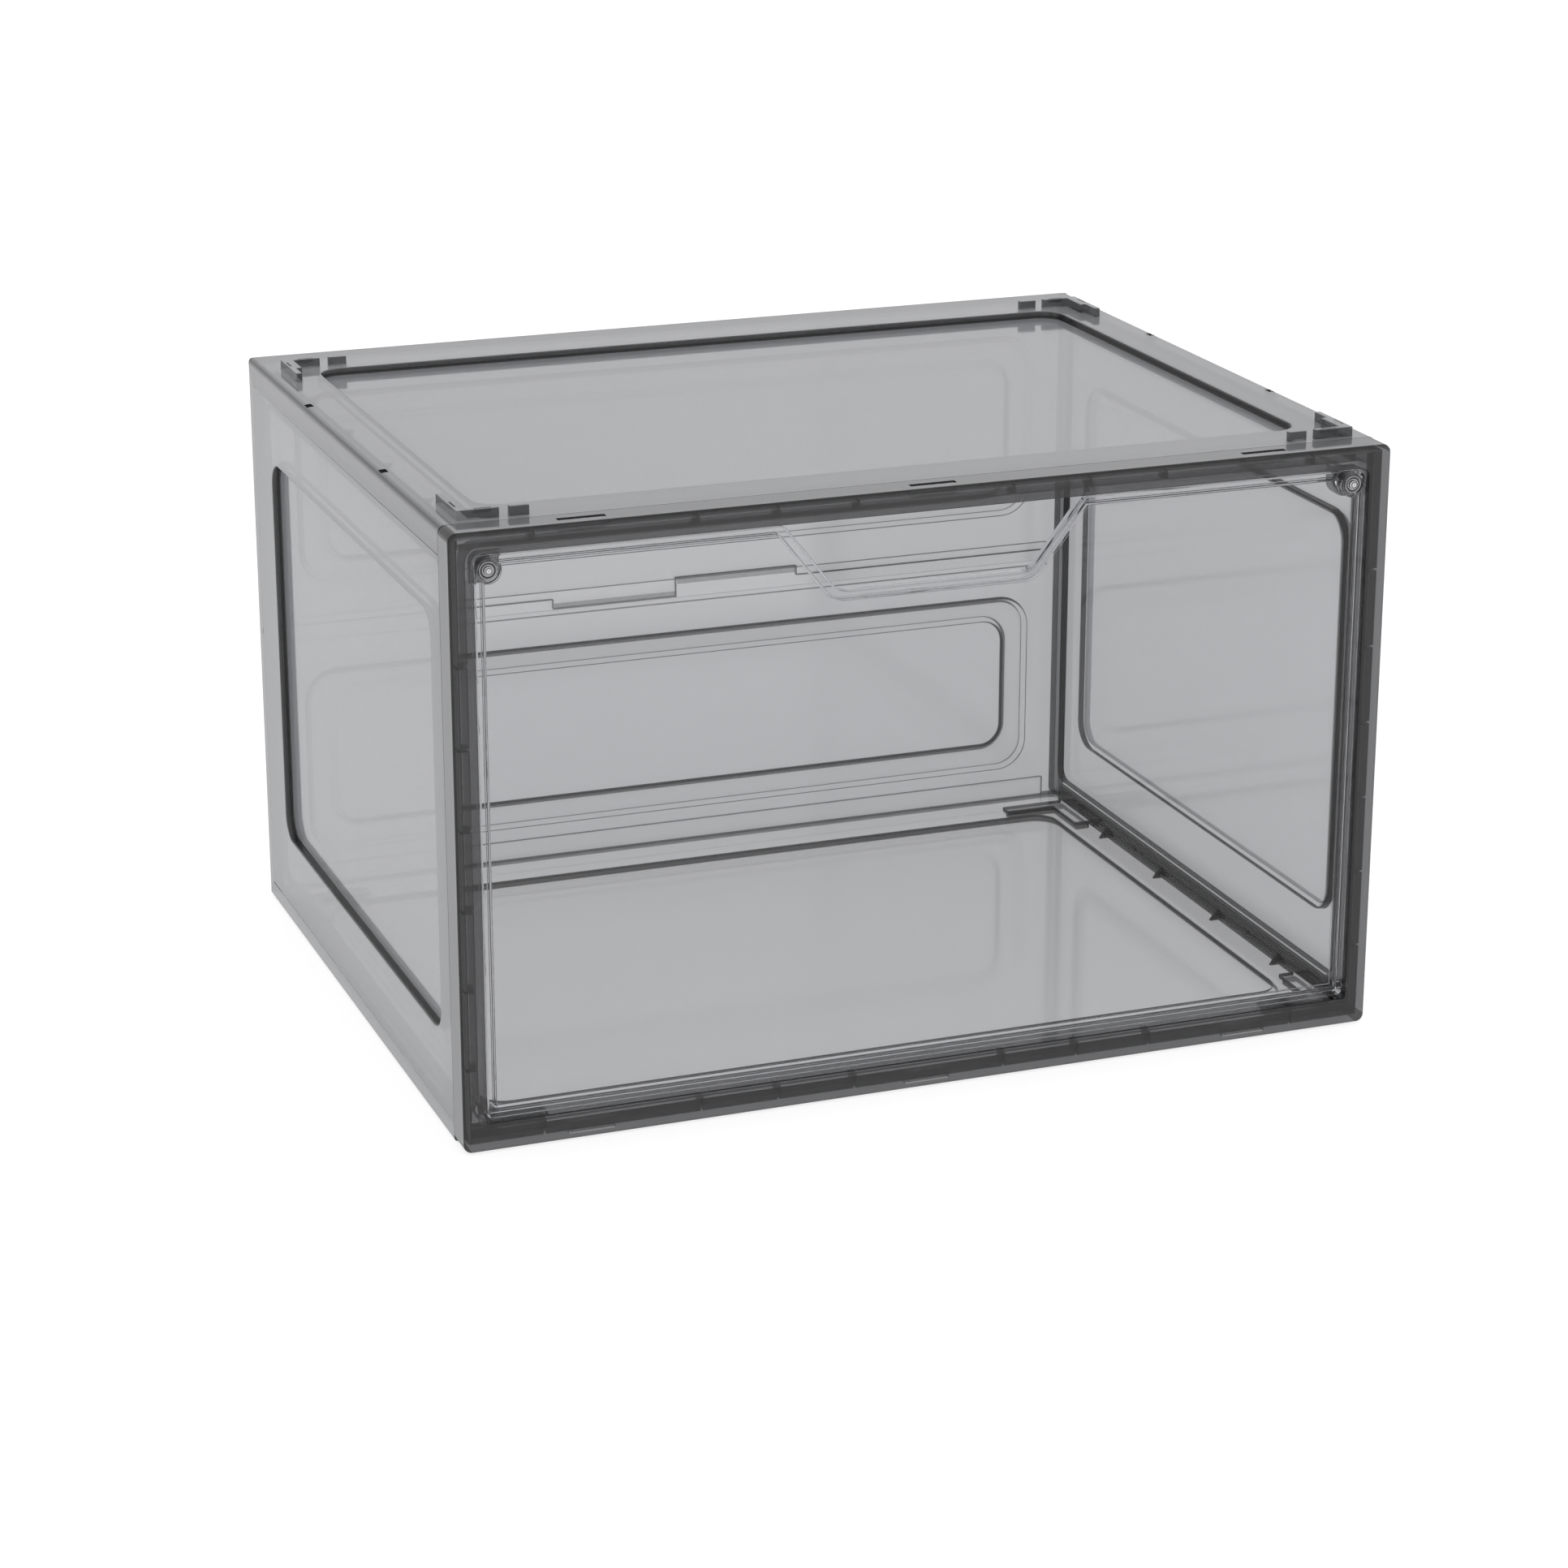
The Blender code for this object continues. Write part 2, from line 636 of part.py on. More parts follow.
def rail_holes():
    """Round holes through the floor's rails."""
    low, high = RAIL_X - GAP, RAIL_X + RAIL_WIDTH + GAP
    places = [(y, RAIL_HOLE_Z) for y in RAIL_HOLE_Y]
    return merged([rods(RAIL_HOLE, *span, "X", places, 16) for span in ((low, high), (-high, -low))])


def build_top(group):
    under = HEIGHT - WALL
    rim = HEIGHT - TOP_FLANGE
    body = boxes(((-HALF, SHELL_FRONT, rim), (HALF, BACK, HEIGHT)))
    soften(body, 1, lambda co: co.z > HEIGHT - TINY, PANEL_EDGE)
    top = add_object("top_panel", body, group)
    hollow = boxes(((-INNER, SHELL_FRONT - WALL, rim - WALL), (INNER, BACK + WALL, under)))
    cut(top, hollow, "hollow")
    cut(top, mitre_wedge(rim, HEIGHT, True), "mitre")
    field = rectangle(*TOP_FIELD, FIELD_CORNER)
    sunk = HEIGHT - TOP_SINK
    outer_field = rounded(grown(field, EMBOSS_WALL))
    unite(top, extruded(outer_field, "Z", sunk - WALL, under + OVERLAP), "field")
    cut(top, extruded(rounded(field), "Z", sunk, HEIGHT + WALL), "field")
    sheet = (under - GAP - LIP, under - GAP)
    unite(top, tongue(*sheet), "tongue")
    root_back = SHELL_FRONT + LIP - OVERLAP
    root = boxes(((-TONGUE_X, SHELL_FRONT, sheet[1] - LIP / 2),
                  (TONGUE_X, root_back, under + OVERLAP)))
    unite(top, root, "tongue_root")
    tabs, hooks = snap_row(sheet, (sheet[1] - LIP / 2, HEIGHT - SNAP_PLAY))
    unite(top, tabs, "tabs")
    unite(top, hooks, "hooks")
    lip_back = BACK - WALL - GAP
    back_lip = boxes(((-LIP_X, lip_back - LIP, rim), (LIP_X, lip_back, under + OVERLAP)))
    unite(top, back_lip, "back_lip")
    unite(top, rails(under + OVERLAP, under - RAIL_RISE), "rails")
    unite(top, gussets(under + OVERLAP, under - RAIL_RISE + LIP), "gussets")
    unite(top, all_corners(stack_rib), "stacking")
    cut(top, roof_windows(), "windows")
    return top


def build_bottom(group):
    """Floor tray: the border stands clear of the ground, and the field and the flanges touch it."""
    sheet_low = BASE_SINK
    sheet_high = BASE_SINK + WALL
    body = boxes(((-HALF, SHELL_FRONT, 0), (HALF, BACK, BASE_FLANGE)))
    soften(body, 1, lambda co: co.z < TINY, PANEL_EDGE)
    bottom = add_object("bottom_panel", body, group)
    hollow = boxes(((-INNER, SHELL_FRONT - WALL, sheet_high), (INNER, BACK + WALL, HEIGHT)))
    cut(bottom, hollow, "hollow")
    field = rectangle(*BASE_FIELD, FIELD_CORNER)
    border = ring(rectangle(-INNER, SHELL_FRONT + WALL, INNER, BACK - WALL, EMBOSS_WALL),
                  grown(field, EMBOSS_WALL), "Z", -WALL, sheet_low)
    cut(bottom, border, "border")
    cut(bottom, extruded(rounded(field), "Z", WALL, HEIGHT), "field")
    cut(bottom, mitre_wedge(BASE_FLANGE, 0, True), "mitre")
    outside = CHANNEL_ROOM + CHANNEL_WALL
    channel_top = CHANNEL_DEEP + CHANNEL_ROOF
    covers = all_corners(stack_channel, outside, sheet_low + OVERLAP, channel_top)
    unite(bottom, covers, "channels")
    cut(bottom, all_corners(stack_channel, CHANNEL_ROOM, -WALL, CHANNEL_DEEP), "channels")
    sheet = (WALL + GAP, WALL + GAP + LIP)
    unite(bottom, tongue(*sheet), "tongue")
    tabs, hooks = snap_row(sheet, (SNAP_PLAY, sheet[0] + LIP / 2))
    unite(bottom, tabs, "tabs")
    unite(bottom, hooks, "hooks")
    lip_back = BACK - WALL - GAP
    rail_top = sheet_high + RAIL_RISE
    back_lip = boxes(((-LIP_X, lip_back - LIP, sheet_high - WALL / 2), (LIP_X, lip_back, rail_top)))
    unite(bottom, back_lip, "back_lip")
    unite(bottom, rails(sheet_high - OVERLAP, rail_top), "rails")
    unite(bottom, gussets(sheet_high - OVERLAP, rail_top - LIP), "gussets")
    cut(bottom, rail_holes(), "rail_holes")
    return bottom


# ---------------------------------------------------------------- side panels

def build_side(group, side, label):
    """Skin between the seams, with a tongue frame behind it that reaches under every neighbour."""
    seam_low, seam_high = BASE_FLANGE + GAP, HEIGHT - TOP_FLANGE - GAP
    seam_back = BACK - BACK_FLANGE - GAP
    tongue_out = INNER - GAP
    tongue_in = tongue_out - TONGUE

    def span(low_x, high_x):
        return sorted((side * low_x, side * high_x))

    skin = extruded(rounded(rectangle(SHELL_FRONT, seam_low, seam_back, seam_high)), "X",
                    *span(tongue_out - OVERLAP, HALF))
    panel = add_object(f"{label}_side_panel", skin, group)
    reach = rectangle(SHELL_FRONT - TONGUE_REACH, BASE_SINK + WALL + GAP, BACK - WALL - 2 * GAP,
                      HEIGHT - WALL - GAP, TONGUE_CORNER)
    unite(panel, extruded(rounded(reach, 2), "X", *span(tongue_in, tongue_out)), "tongue")
    window = rectangle(SHELL_FRONT + TONGUE_BAND, seam_low + TONGUE_BAND,
                       seam_back - TONGUE_BAND, seam_high - TONGUE_BAND, TONGUE_BAND)
    cut(panel, extruded(rounded(window), "X", *span(tongue_in - WALL, INNER)), "window")
    field = rectangle(*SIDE_FIELD, FIELD_CORNER)
    sunk = HALF - SIDE_SINK
    outer_field = rounded(grown(field, EMBOSS_WALL))
    unite(panel, extruded(outer_field, "X", *span(sunk - WALL, INNER + OVERLAP)), "field")
    cut(panel, extruded(rounded(field), "X", *span(sunk, HALF + WALL)), "field")
    return panel


# ---------------------------------------------------------------- back halves

def seam_waste(above):
    """Outline of everything on one side of the stepped seam, grown by half the seam's gap."""
    edge, width, step = HALF + WALL, SEAM_TONGUE, SEAM_STEP
    line = [(-edge, SEAM_Z), (-width, SEAM_Z), (-width, SEAM_Z - step), (0, SEAM_Z - step),
            (0, SEAM_Z + step), (width, SEAM_Z + step), (width, SEAM_Z), (edge, SEAM_Z)]
    far = SEAM_Z + WEDGE if above else SEAM_Z - WEDGE
    if above:
        loop = line + [(edge, far), (-edge, far)]
    else:
        loop = line[::-1] + [(-edge, far), (edge, far)]
    return [corner[:2] for corner in grown([(*point, 0) for point in loop], GAP / 2)]


def build_back_half(group, name, low, high, upper_half):
    """One half of the back: a sheet with side flanges, a pressed bead ring and a stepped seam edge."""
    back = add_object(name, boxes(((-HALF, BACK - BACK_FLANGE, low), (HALF, BACK, high))), group)
    cut(back, boxes(((-INNER, FRONT, low - WALL), (INNER, BACK - WALL, high + WALL))), "hollow")
    cut(back, extruded(seam_waste(not upper_half), "Y", BACK - 2 * BACK_FLANGE, BACK + WALL), "seam")
    half_x, outer_low, outer_high = BEAD_OUTER
    inner_x, inner_low, inner_high = BEAD_INNER
    outer = rectangle(-half_x, outer_low, half_x, outer_high, BEAD_CORNER)
    inner = rectangle(-inner_x, inner_low, inner_x, inner_high, FIELD_CORNER)
    if upper_half:
        outer, inner = upside_down(outer), upside_down(inner)
    face = BACK - WALL
    unite(back, ring(outer, inner, "Y", face - BEAD_SINK, face + OVERLAP), "bead")
    groove = ring(grown(outer, -EMBOSS_WALL), grown(inner, EMBOSS_WALL), "Y", BACK - BEAD_SINK,
                  BACK + WALL)
    cut(back, groove, "bead")
    return back


def upside_down(corners):
    """Mirror an outline of the lower half about the middle of the height."""
    return [(a, HEIGHT - b, radius) for a, b, radius in reversed(corners)]


def build_back(group):
    upper = build_back_half(group, "upper_back_panel", SEAM_Z - 2 * SEAM_STEP, HEIGHT, True)
    cut(upper, mitre_wedge(HEIGHT - TOP_FLANGE, HEIGHT, False), "mitre")
    lower = build_back_half(group, "lower_back_panel", 0, SEAM_Z + 2 * SEAM_STEP, False)
    cut(lower, mitre_wedge(BASE_FLANGE, 0, False), "mitre")
    face = BACK - WALL - GAP
    low, high = SEAM_LIP
    unite(lower, boxes(((-LIP_X, face - LIP, low), (LIP_X, face, high))), "seam_lip")
    root = boxes(((-LIP_X, face - LIP / 2, low), (LIP_X, BACK - WALL + OVERLAP, low + LIP)))
    unite(lower, root, "seam_root")
    return upper, lower


# ---------------------------------------------------------------- assembly

def hang(piece, carrier):
    """Parent a piece to its carrier, leaving it where it is."""
    piece.parent = carrier
    piece.matrix_parent_inverse = Matrix.Translation(-carrier.location)


def finish(thing, material):
    thing.data.materials.clear()
    thing.data.materials.append(material)


def main():
    clear_scene()
    group = new_collection("shoe_box")
    new_collection("shaping_solids")
    smoke = plastic("smoke_plastic", SMOKE, 0.25, alpha=0.55)
    dark = plastic("frame_plastic", SMOKE_DARK, 0.2, alpha=0.7)
    clear = plastic("clear_plastic", CLEAR, 0.05, alpha=0.25)
    steel = plastic("striker_steel", STEEL, 0.25, metallic=1.0)
    nickel = plastic("magnet_nickel", MAGNET, 0.3, metallic=1.0)
    finish(build_front_frame(group), dark)
    for panel in (build_top(group), build_bottom(group), *build_back(group)):
        finish(panel, smoke)
    for side, label in ((-1, "left"), (1, "right")):
        finish(build_side(group, side, label), smoke)
    door = build_door(group)
    finish(door, clear)
    for side, label in ((-1, "left"), (1, "right")):
        on_door, on_frame = build_catch(group, side, label)
        for piece in on_door:
            finish(piece, steel)
            hang(piece, door)
        for piece in on_frame:
            finish(piece, nickel)


main()
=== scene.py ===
"""Looks for the drop-front shoe box: detailed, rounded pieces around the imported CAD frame.

Every piece is built in the row frame, in metres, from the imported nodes' boxes and the same
sizes as the CAD source, with fillets, slits and hooks that the CAD solids leave out.
"""
import json
import math

import bmesh
import bpy
from mathutils import Matrix, Vector


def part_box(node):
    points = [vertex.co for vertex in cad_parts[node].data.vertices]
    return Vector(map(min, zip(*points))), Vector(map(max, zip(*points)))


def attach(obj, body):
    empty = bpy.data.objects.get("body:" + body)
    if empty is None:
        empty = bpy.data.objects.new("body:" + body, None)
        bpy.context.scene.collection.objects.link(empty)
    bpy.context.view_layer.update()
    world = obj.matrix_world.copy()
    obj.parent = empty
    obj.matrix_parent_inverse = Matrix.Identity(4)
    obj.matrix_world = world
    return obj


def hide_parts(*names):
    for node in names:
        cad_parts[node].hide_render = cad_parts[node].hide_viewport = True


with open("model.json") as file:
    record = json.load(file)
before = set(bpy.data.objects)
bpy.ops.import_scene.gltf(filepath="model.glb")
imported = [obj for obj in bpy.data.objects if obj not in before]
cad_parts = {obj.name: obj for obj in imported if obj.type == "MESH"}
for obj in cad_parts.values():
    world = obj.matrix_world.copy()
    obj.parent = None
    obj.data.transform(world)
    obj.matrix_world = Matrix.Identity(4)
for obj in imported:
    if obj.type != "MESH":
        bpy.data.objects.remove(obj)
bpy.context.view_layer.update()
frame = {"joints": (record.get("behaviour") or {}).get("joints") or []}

MM = 0.001

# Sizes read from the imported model
FRAME_LOW, FRAME_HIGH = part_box("front_frame")
HALF = FRAME_HIGH.x
HEIGHT = FRAME_HIGH.z
FRONT = FRAME_LOW.y
FRAME_BACK = FRAME_HIGH.y
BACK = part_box("upper_back_panel")[1].y
STACK_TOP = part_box("top_panel")[1].z
DOOR_LOW_CORNER, DOOR_HIGH_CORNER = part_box("door_panel")
DOOR_LOW = DOOR_LOW_CORNER.z
DOOR_TOP = DOOR_HIGH_CORNER.z
DOOR_FACE = DOOR_LOW_CORNER.y
DISC_LOW, DISC_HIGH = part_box("striker_disc_right")
CATCH_X = (DISC_LOW.x + DISC_HIGH.x) / 2
CATCH_Z = (DISC_LOW.z + DISC_HIGH.z) / 2
HINGE_Y, HINGE_Z = frame["joints"][0]["pos_m"][1:]

# Sizes shared with the CAD source
WALL = 2.2 * MM
GAP = 0.3 * MM
OVERLAP = 0.3 * MM
TINY = 0.001 * MM
INNER = HALF - WALL

FRAME_FACE = 2.4 * MM
FRAME_CORNER = 3 * MM
FRAME_EDGE = 1.6 * MM
SIDE_RAIL = 8.6 * MM
TOP_RAIL = 8.0 * MM
BOTTOM_RAIL = 10.5 * MM
OPENING_CORNER = 3.5 * MM
OPENING_TOE = 1.0 * MM
WEB_LEG = 8 * MM
FRAME_RIB = 1.2 * MM
RIB_REACH = 5.8 * MM
RIB_PITCH = 29 * MM
SNAPS = (-1, 0, 1)
SNAP_PITCH = 127 * MM
SNAP_SLOT = (17 * MM, 3.0 * MM)
SNAP_TAB = (16 * MM, 2.2 * MM)
SNAP_FRONT = FRONT + 5.0 * MM
SNAP_PLAY = 0.4 * MM

DOOR_RIM_DEPTH = 5.0 * MM
DOOR_RIM_WIDTH = 3.3 * MM
DOOR_PLATE = 2.0 * MM
DOOR_RECESS = 0.8 * MM
DOOR_SIDE = HALF - SIDE_RAIL - 0.6 * MM
DOOR_CORNER = 3 * MM
NOTCH_TOP = 56 * MM
NOTCH_BASE = 36 * MM
NOTCH_DEPTH = 25.4 * MM
NOTCH_LIP = 4 * MM
NOTCH_ROOT = 6 * MM
PIN_RADIUS = 1.6 * MM
PIN_REACH = 3.4 * MM
PIN_HOLE = 1.9 * MM
BOSS_RADIUS = 4.8 * MM
BOSS_DEPTH = 5.4 * MM
DISC_RADIUS = 3.3 * MM
DISC_THICK = 1.0 * MM
DISC_BORE = 1.3 * MM
RIVET_HEAD = 1.6 * MM
RIVET_RISE = 0.8 * MM
RIVET_SHANK = 0.9 * MM
RIVET_LENGTH = 3.6 * MM
POCKET_FRONT = FRONT + 7.6 * MM
POCKET_RADIUS = 5.5 * MM
MAGNET_RADIUS = 3.6 * MM
MAGNET_THICK = 2.4 * MM

SHELL_FRONT = FRAME_BACK + GAP
BACK_FLANGE = 6.7 * MM
TOP_FLANGE = 10.0 * MM
BASE_FLANGE = 7.0 * MM
TONGUE = 2.7 * MM
TONGUE_REACH = 4.0 * MM
TONGUE_BAND = 5.0 * MM
TONGUE_CORNER = 1.5 * MM
TONGUE_X = 160 * MM
LIP = 1.8 * MM
LIP_X = 166 * MM
ROOF_EDGE = 2.6 * MM
BASE_EDGE = 1.4 * MM
WEDGE = 30 * MM
FIELD_CORNER = 9 * MM
EMBOSS_WALL = 2.0 * MM
TOP_FIELD = (-155 * MM, -107 * MM, 155 * MM, 110 * MM)
TOP_SINK = 3.0 * MM
BASE_FIELD = (-157 * MM, -107 * MM, 157 * MM, 110 * MM)
BASE_SINK = 1.5 * MM
SIDE_FIELD = (-114 * MM, 36 * MM, 107 * MM, 188 * MM)
SIDE_SINK = 3.3 * MM
BEAD_SINK = 2.0 * MM
BEAD_OUTER = (158 * MM, 16 * MM, 93 * MM)
BEAD_INNER = (146 * MM, 28 * MM, 83 * MM)
BEAD_CORNER = 13 * MM
RAIL_X = 167.5 * MM
RAIL_WIDTH = 1.8 * MM
RAIL_RISE = 7.0 * MM
RAIL_ENDS = (-124 * MM, 122 * MM)
GUSSET_FIRST = -84 * MM
GUSSET_PITCH = 52 * MM
GUSSET_COUNT = 4
GUSSET_FOOT = 4 * MM
GUSSET_THICK = 1.4 * MM
RAIL_HOLE = 1.2 * MM
RAIL_HOLE_Z = 7.4 * MM
RAIL_HOLE_Y = (-58.7 * MM, 44.5 * MM)
WINDOW_X = (171.0 * MM, 173.6 * MM)
WINDOW_LENGTH = 4.6 * MM
WINDOW_Y = (-50 * MM, 54 * MM)
STACK_SIDE = 7.5 * MM
STACK_FRONT = FRONT + 16 * MM
STACK_BACK = FRONT + 257 * MM
STACK_ARM = 2.4 * MM
STACK_HEEL = 4.6 * MM
STACK_TOE = 9 * MM
STACK_LONG = 25 * MM
STACK_SHORT = 15 * MM
STACK_BAR = (18.5 * MM, 25.5 * MM)
CHANNEL_ROOM = 0.8 * MM
CHANNEL_WALL = 1.1 * MM
CHANNEL_DEEP = 4.1 * MM
CHANNEL_ROOF = 1.3 * MM
SEAM_Z = 112 * MM
SEAM_STEP = 4 * MM
SEAM_TONGUE = 53 * MM
SEAM_LIP = (106 * MM, 116 * MM)

# Sizes of the details that only the looks have
SEAM_GAP = 0.08 * MM
SEAM_RIB = 0.2 * MM
SEAM_RIB_HIGH = 2.4 * MM
LEAST_RADIUS = 0.15 * MM
PAST = 0.02 * MM
ARC_STEPS = 10
FEW_STEPS = 3
OUTER_FOOT = 0.6 * MM
OUTER_BRIM = 0.8 * MM
INNER_FOOT = 1.4 * MM
INNER_BRIM = 0.5 * MM
BEAD_FOOT = 1.2 * MM
BACK_EDGE = 1.6 * MM
SKIN_EDGE = 0.35 * MM
OPENING_BRIM = 0.7 * MM
FRAME_FOOT = 0.9 * MM
DOOR_EDGE = 0.5 * MM
DOOR_FRONT_FOOT = 0.3 * MM
DOOR_BACK_FOOT = 0.6 * MM
DOOR_BRIM = 0.4 * MM
PIN_EDGE = 0.3 * MM
METAL_EDGE = 0.2 * MM
DISC_RING = 0.09 * MM
DOME_STEPS = 10
TURNED_STEPS = 64
BASE_FOOT = 0.5 * MM
BASE_RING_BRIM = 0.4 * MM
BASE_FIELD_BRIM = 0.6 * MM
RAIL_EDGE = 0.4 * MM
STACK_EDGE = 0.35 * MM
CHANNEL_CORNER = 0.5 * MM
SLIT_HALF = 0.3 * MM
SLIT_DEPTH = 1.6 * MM
SLIT_ALONG = (5.4 * MM, 12.4 * MM)
SLIT_ACROSS = (6.4 * MM, 12.4 * MM)
SHARP_ANGLE = 32

# Tones: dark and light grain of the smoke, its colour seen edge on and in painted shade, and how
# much each covers
SMOKE = ((0.350, 0.356, 0.373), (0.394, 0.401, 0.420))
SMOKE_DEEP = (0.02, 0.02, 0.021)
SMOKE_COVER = 0.79
EDGE_COVER = 0.92
FRAME_SMOKE = ((0.045, 0.045, 0.047), (0.065, 0.065, 0.068))
FRAME_DEEP = (0.012, 0.012, 0.0125)
FRAME_COVER = 0.34
FRAME_EDGE_COVER = 0.8
FRAME_THROUGH = (0.63, 0.63, 0.637)
GRAIN_SCALE = 2600.0
SWELL_SCALE = 18.0
METAL_GRAIN = 900.0
FINE_BUMP = 0.0001
SWELL_BUMP = 0.0002

# How dark each stretch of the sheets looks along its depth, from 0 to 1; on the flanges it is
# painted shade, light on their sides and dark on their roundings
RIB_DARK = 0.8
TONGUE_DARK = 0.7
LIP_DARK = 0.8
SEAM_DARK = 0.6
ROUNDING_PAINTED_SHADE = 0.8
SIDE_PAINTED_SHADE = 0.1
MOUTH_DARK = 0.3
# Thinner haze on the floor tray, so that it looks lighter: painted light against the shade under
# the box.
FLOOR_PAINTED_LIGHT_COVER = 0.8

AXIS_TURN = {
    "X": Matrix(((0, 0, 1, 0), (1, 0, 0, 0), (0, 1, 0, 0), (0, 0, 0, 1))),
    "Y": Matrix(((1, 0, 0, 0), (0, 0, 1, 0), (0, 1, 0, 0), (0, 0, 0, 1))),
    "Z": Matrix.Identity(4),
}


# ---------- meshes

def link(thing):
    bpy.context.scene.collection.objects.link(thing)
    return thing


def as_object(name, shape):
    """Turn a bmesh into an object, with its faces pointing out."""
    bmesh.ops.recalc_face_normals(shape, faces=shape.faces)
    mesh = bpy.data.meshes.new(name)
    shape.to_mesh(mesh)
    shape.free()
    return link(bpy.data.objects.new(name, mesh))


def combine(target, shape, operation):
    modifier = target.modifiers.new("shape", "BOOLEAN")
    modifier.operation = operation
    modifier.solver = "EXACT"
    modifier.object = as_object(f"tool_{target.name}", shape)


def cut(target, *shapes):
    for shape in shapes:
        combine(target, shape, "DIFFERENCE")


def unite(target, *shapes):
    for shape in shapes:
        combine(target, shape, "UNION")


def settle(thing):
    """Apply the modifiers, and remove the objects that they used."""
    depsgraph = bpy.context.evaluated_depsgraph_get()
    mesh = bpy.data.meshes.new_from_object(thing.evaluated_get(depsgraph))
    mesh.name = thing.name
    tools = [modifier.object for modifier in thing.modifiers if modifier.type == "BOOLEAN"]
    thing.modifiers.clear()
    thing.data = mesh
    for tool in tools:
        bpy.data.objects.remove(tool)


def rectangle(low_a, low_b, high_a, high_b, radius):
    """Corners (a, b, radius) of a rectangle, counter-clockwise."""
    return [(low_a, low_b, radius), (high_a, low_b, radius),
            (high_a, high_b, radius), (low_a, high_b, radius)]


def grown(corners, distance):
    """Offset a counter-clockwise outline outwards, keeping its arcs concentric."""
    result = []
    for index, (a, b, radius) in enumerate(corners):
        here = Vector((a, b))
        into = (here - Vector(corners[index - 1][:2])).normalized()
        out = (Vector(corners[(index + 1) % len(corners)][:2]) - here).normalized()
        normal_in = Vector((into.y, -into.x))
        normal_out = Vector((out.y, -out.x))
        shift = (normal_in + normal_out) / (1 + normal_in.dot(normal_out)) * distance
        turn = 1 if into.x * out.y - into.y * out.x > 0 else -1
        offset_radius = max(radius + turn * distance, LEAST_RADIUS)
        result.append((a + shift.x, b + shift.y, offset_radius))
    return result


def rounded(corners, steps=ARC_STEPS):
    """Points of an outline whose corners are rounded with arcs of their own radius."""
    points = []
    for index, (a, b, radius) in enumerate(corners):
        here = Vector((a, b))
        before = (Vector(corners[index - 1][:2]) - here).normalized()
        after = (Vector(corners[(index + 1) % len(corners)][:2]) - here).normalized()
        if radius <= 0:
            points.append(here)
            continue
        half_angle = before.angle(after) / 2
        centre = here + (before + after).normalized() * radius / math.sin(half_angle)
        start = here + before * radius / math.tan(half_angle) - centre
        end = here + after * radius / math.tan(half_angle) - centre
        first = math.atan2(start.y, start.x)
        sweep = (math.atan2(end.y, end.x) - first + math.pi) % math.tau - math.pi
        for step in range(steps + 1):
            angle = first + sweep * step / steps
            points.append(centre + Vector((math.cos(angle), math.sin(angle))) * radius)
    return points


def skinned(rows, axis, closed=False):
    """Solid through rows of points with one height each; closed joins the last row to the first."""
    shape = bmesh.new()
    loops = [[shape.verts.new((point[0], point[1], height)) for point in points]
             for points, height in rows]
    pairs = list(zip(loops, loops[1:]))
    if closed:
        pairs.append((loops[-1], loops[0]))
    else:
        shape.faces.new(loops[0][::-1])
        shape.faces.new(loops[-1])
    for low, high in pairs:
        for index in range(len(low)):
            shape.faces.new((low[index - 1], low[index], high[index], high[index - 1]))
    bmesh.ops.transform(shape, matrix=AXIS_TURN[axis], verts=shape.verts)
    return shape


def extruded(points, axis, low, high, soft=0.0, soft_low=0.0):
    """Extrude a flat outline along an axis, rounding the rims of its high and low end if asked."""
    shape = bmesh.new()
    face = shape.faces.new([shape.verts.new((point[0], point[1], low)) for point in points])
    swept = bmesh.ops.extrude_face_region(shape, geom=[face])["geom"]
    top = [item for item in swept if isinstance(item, bmesh.types.BMVert)]
    bmesh.ops.translate(shape, verts=top, vec=(0, 0, high - low))
    for height, width in ((high, soft), (low, soft_low)):
        if width > 0:
            rim = [edge for edge in shape.edges
                   if all(abs(vertex.co.z - height) < TINY for vertex in edge.verts)]
            bmesh.ops.bevel(shape, geom=rim, offset=width, segments=FEW_STEPS, profile=0.5,
                            affect="EDGES", clamp_overlap=True)
    bmesh.ops.transform(shape, matrix=AXIS_TURN[axis], verts=shape.verts)
    return shape


def arc(radius, steps=5):
    """Pairs (run, rise) of a quarter arc that starts along the height and ends across it."""
    turns = [math.pi / 2 * step / steps for step in range(steps + 1)]
    return [(radius * (1 - math.cos(turn)), radius * math.sin(turn)) for turn in turns]


def soften(shape, along, test, width, segments):
    """Round the edges that run along one axis (0 to 2) and whose ends pass a test."""
    picked = [edge for edge in shape.edges
              if all(test(vertex.co) for vertex in edge.verts)
              and (edge.verts[1].co - edge.verts[0].co).normalized()[along] ** 2 > 0.99]
    bmesh.ops.bevel(shape, geom=picked, offset=width, segments=segments, profile=0.5,
                    affect="EDGES")


def boxes(*limits):
    """Separate axis-aligned boxes in one bmesh, each from its low and high corner."""
    shape = bmesh.new()
    for low, high in limits:
        low, high = Vector(low), Vector(high)
        place = Matrix.Translation((low + high) / 2) @ Matrix.Diagonal((*(high - low), 1))
        bmesh.ops.create_cube(shape, size=1, matrix=place)
    return shape


def rods(radius, low, high, axis, centres, segments=32, soft=0.0):
    """Separate cylinders along an axis; a centre gives the two other coordinates."""
    shape = bmesh.new()
    for a, b in centres:
        place = AXIS_TURN[axis] @ Matrix.Translation((a, b, (low + high) / 2))
        bmesh.ops.create_cone(shape, cap_ends=True, segments=segments, radius1=radius,
                              radius2=radius, depth=high - low, matrix=place)
    if soft > 0:
        rims = [edge for edge in shape.edges
                if any(len(face.verts) > 4 for face in edge.link_faces)]
        bmesh.ops.bevel(shape, geom=rims, offset=soft, segments=FEW_STEPS, profile=0.5,
                        affect="EDGES")
    return shape


def merged(shapes):
    """Several bmeshes as one."""
    total = bmesh.new()
    for shape in shapes:
        mesh = bpy.data.meshes.new("piece")
        shape.to_mesh(mesh)
        shape.free()
        total.from_mesh(mesh)
        bpy.data.meshes.remove(mesh)
    return total


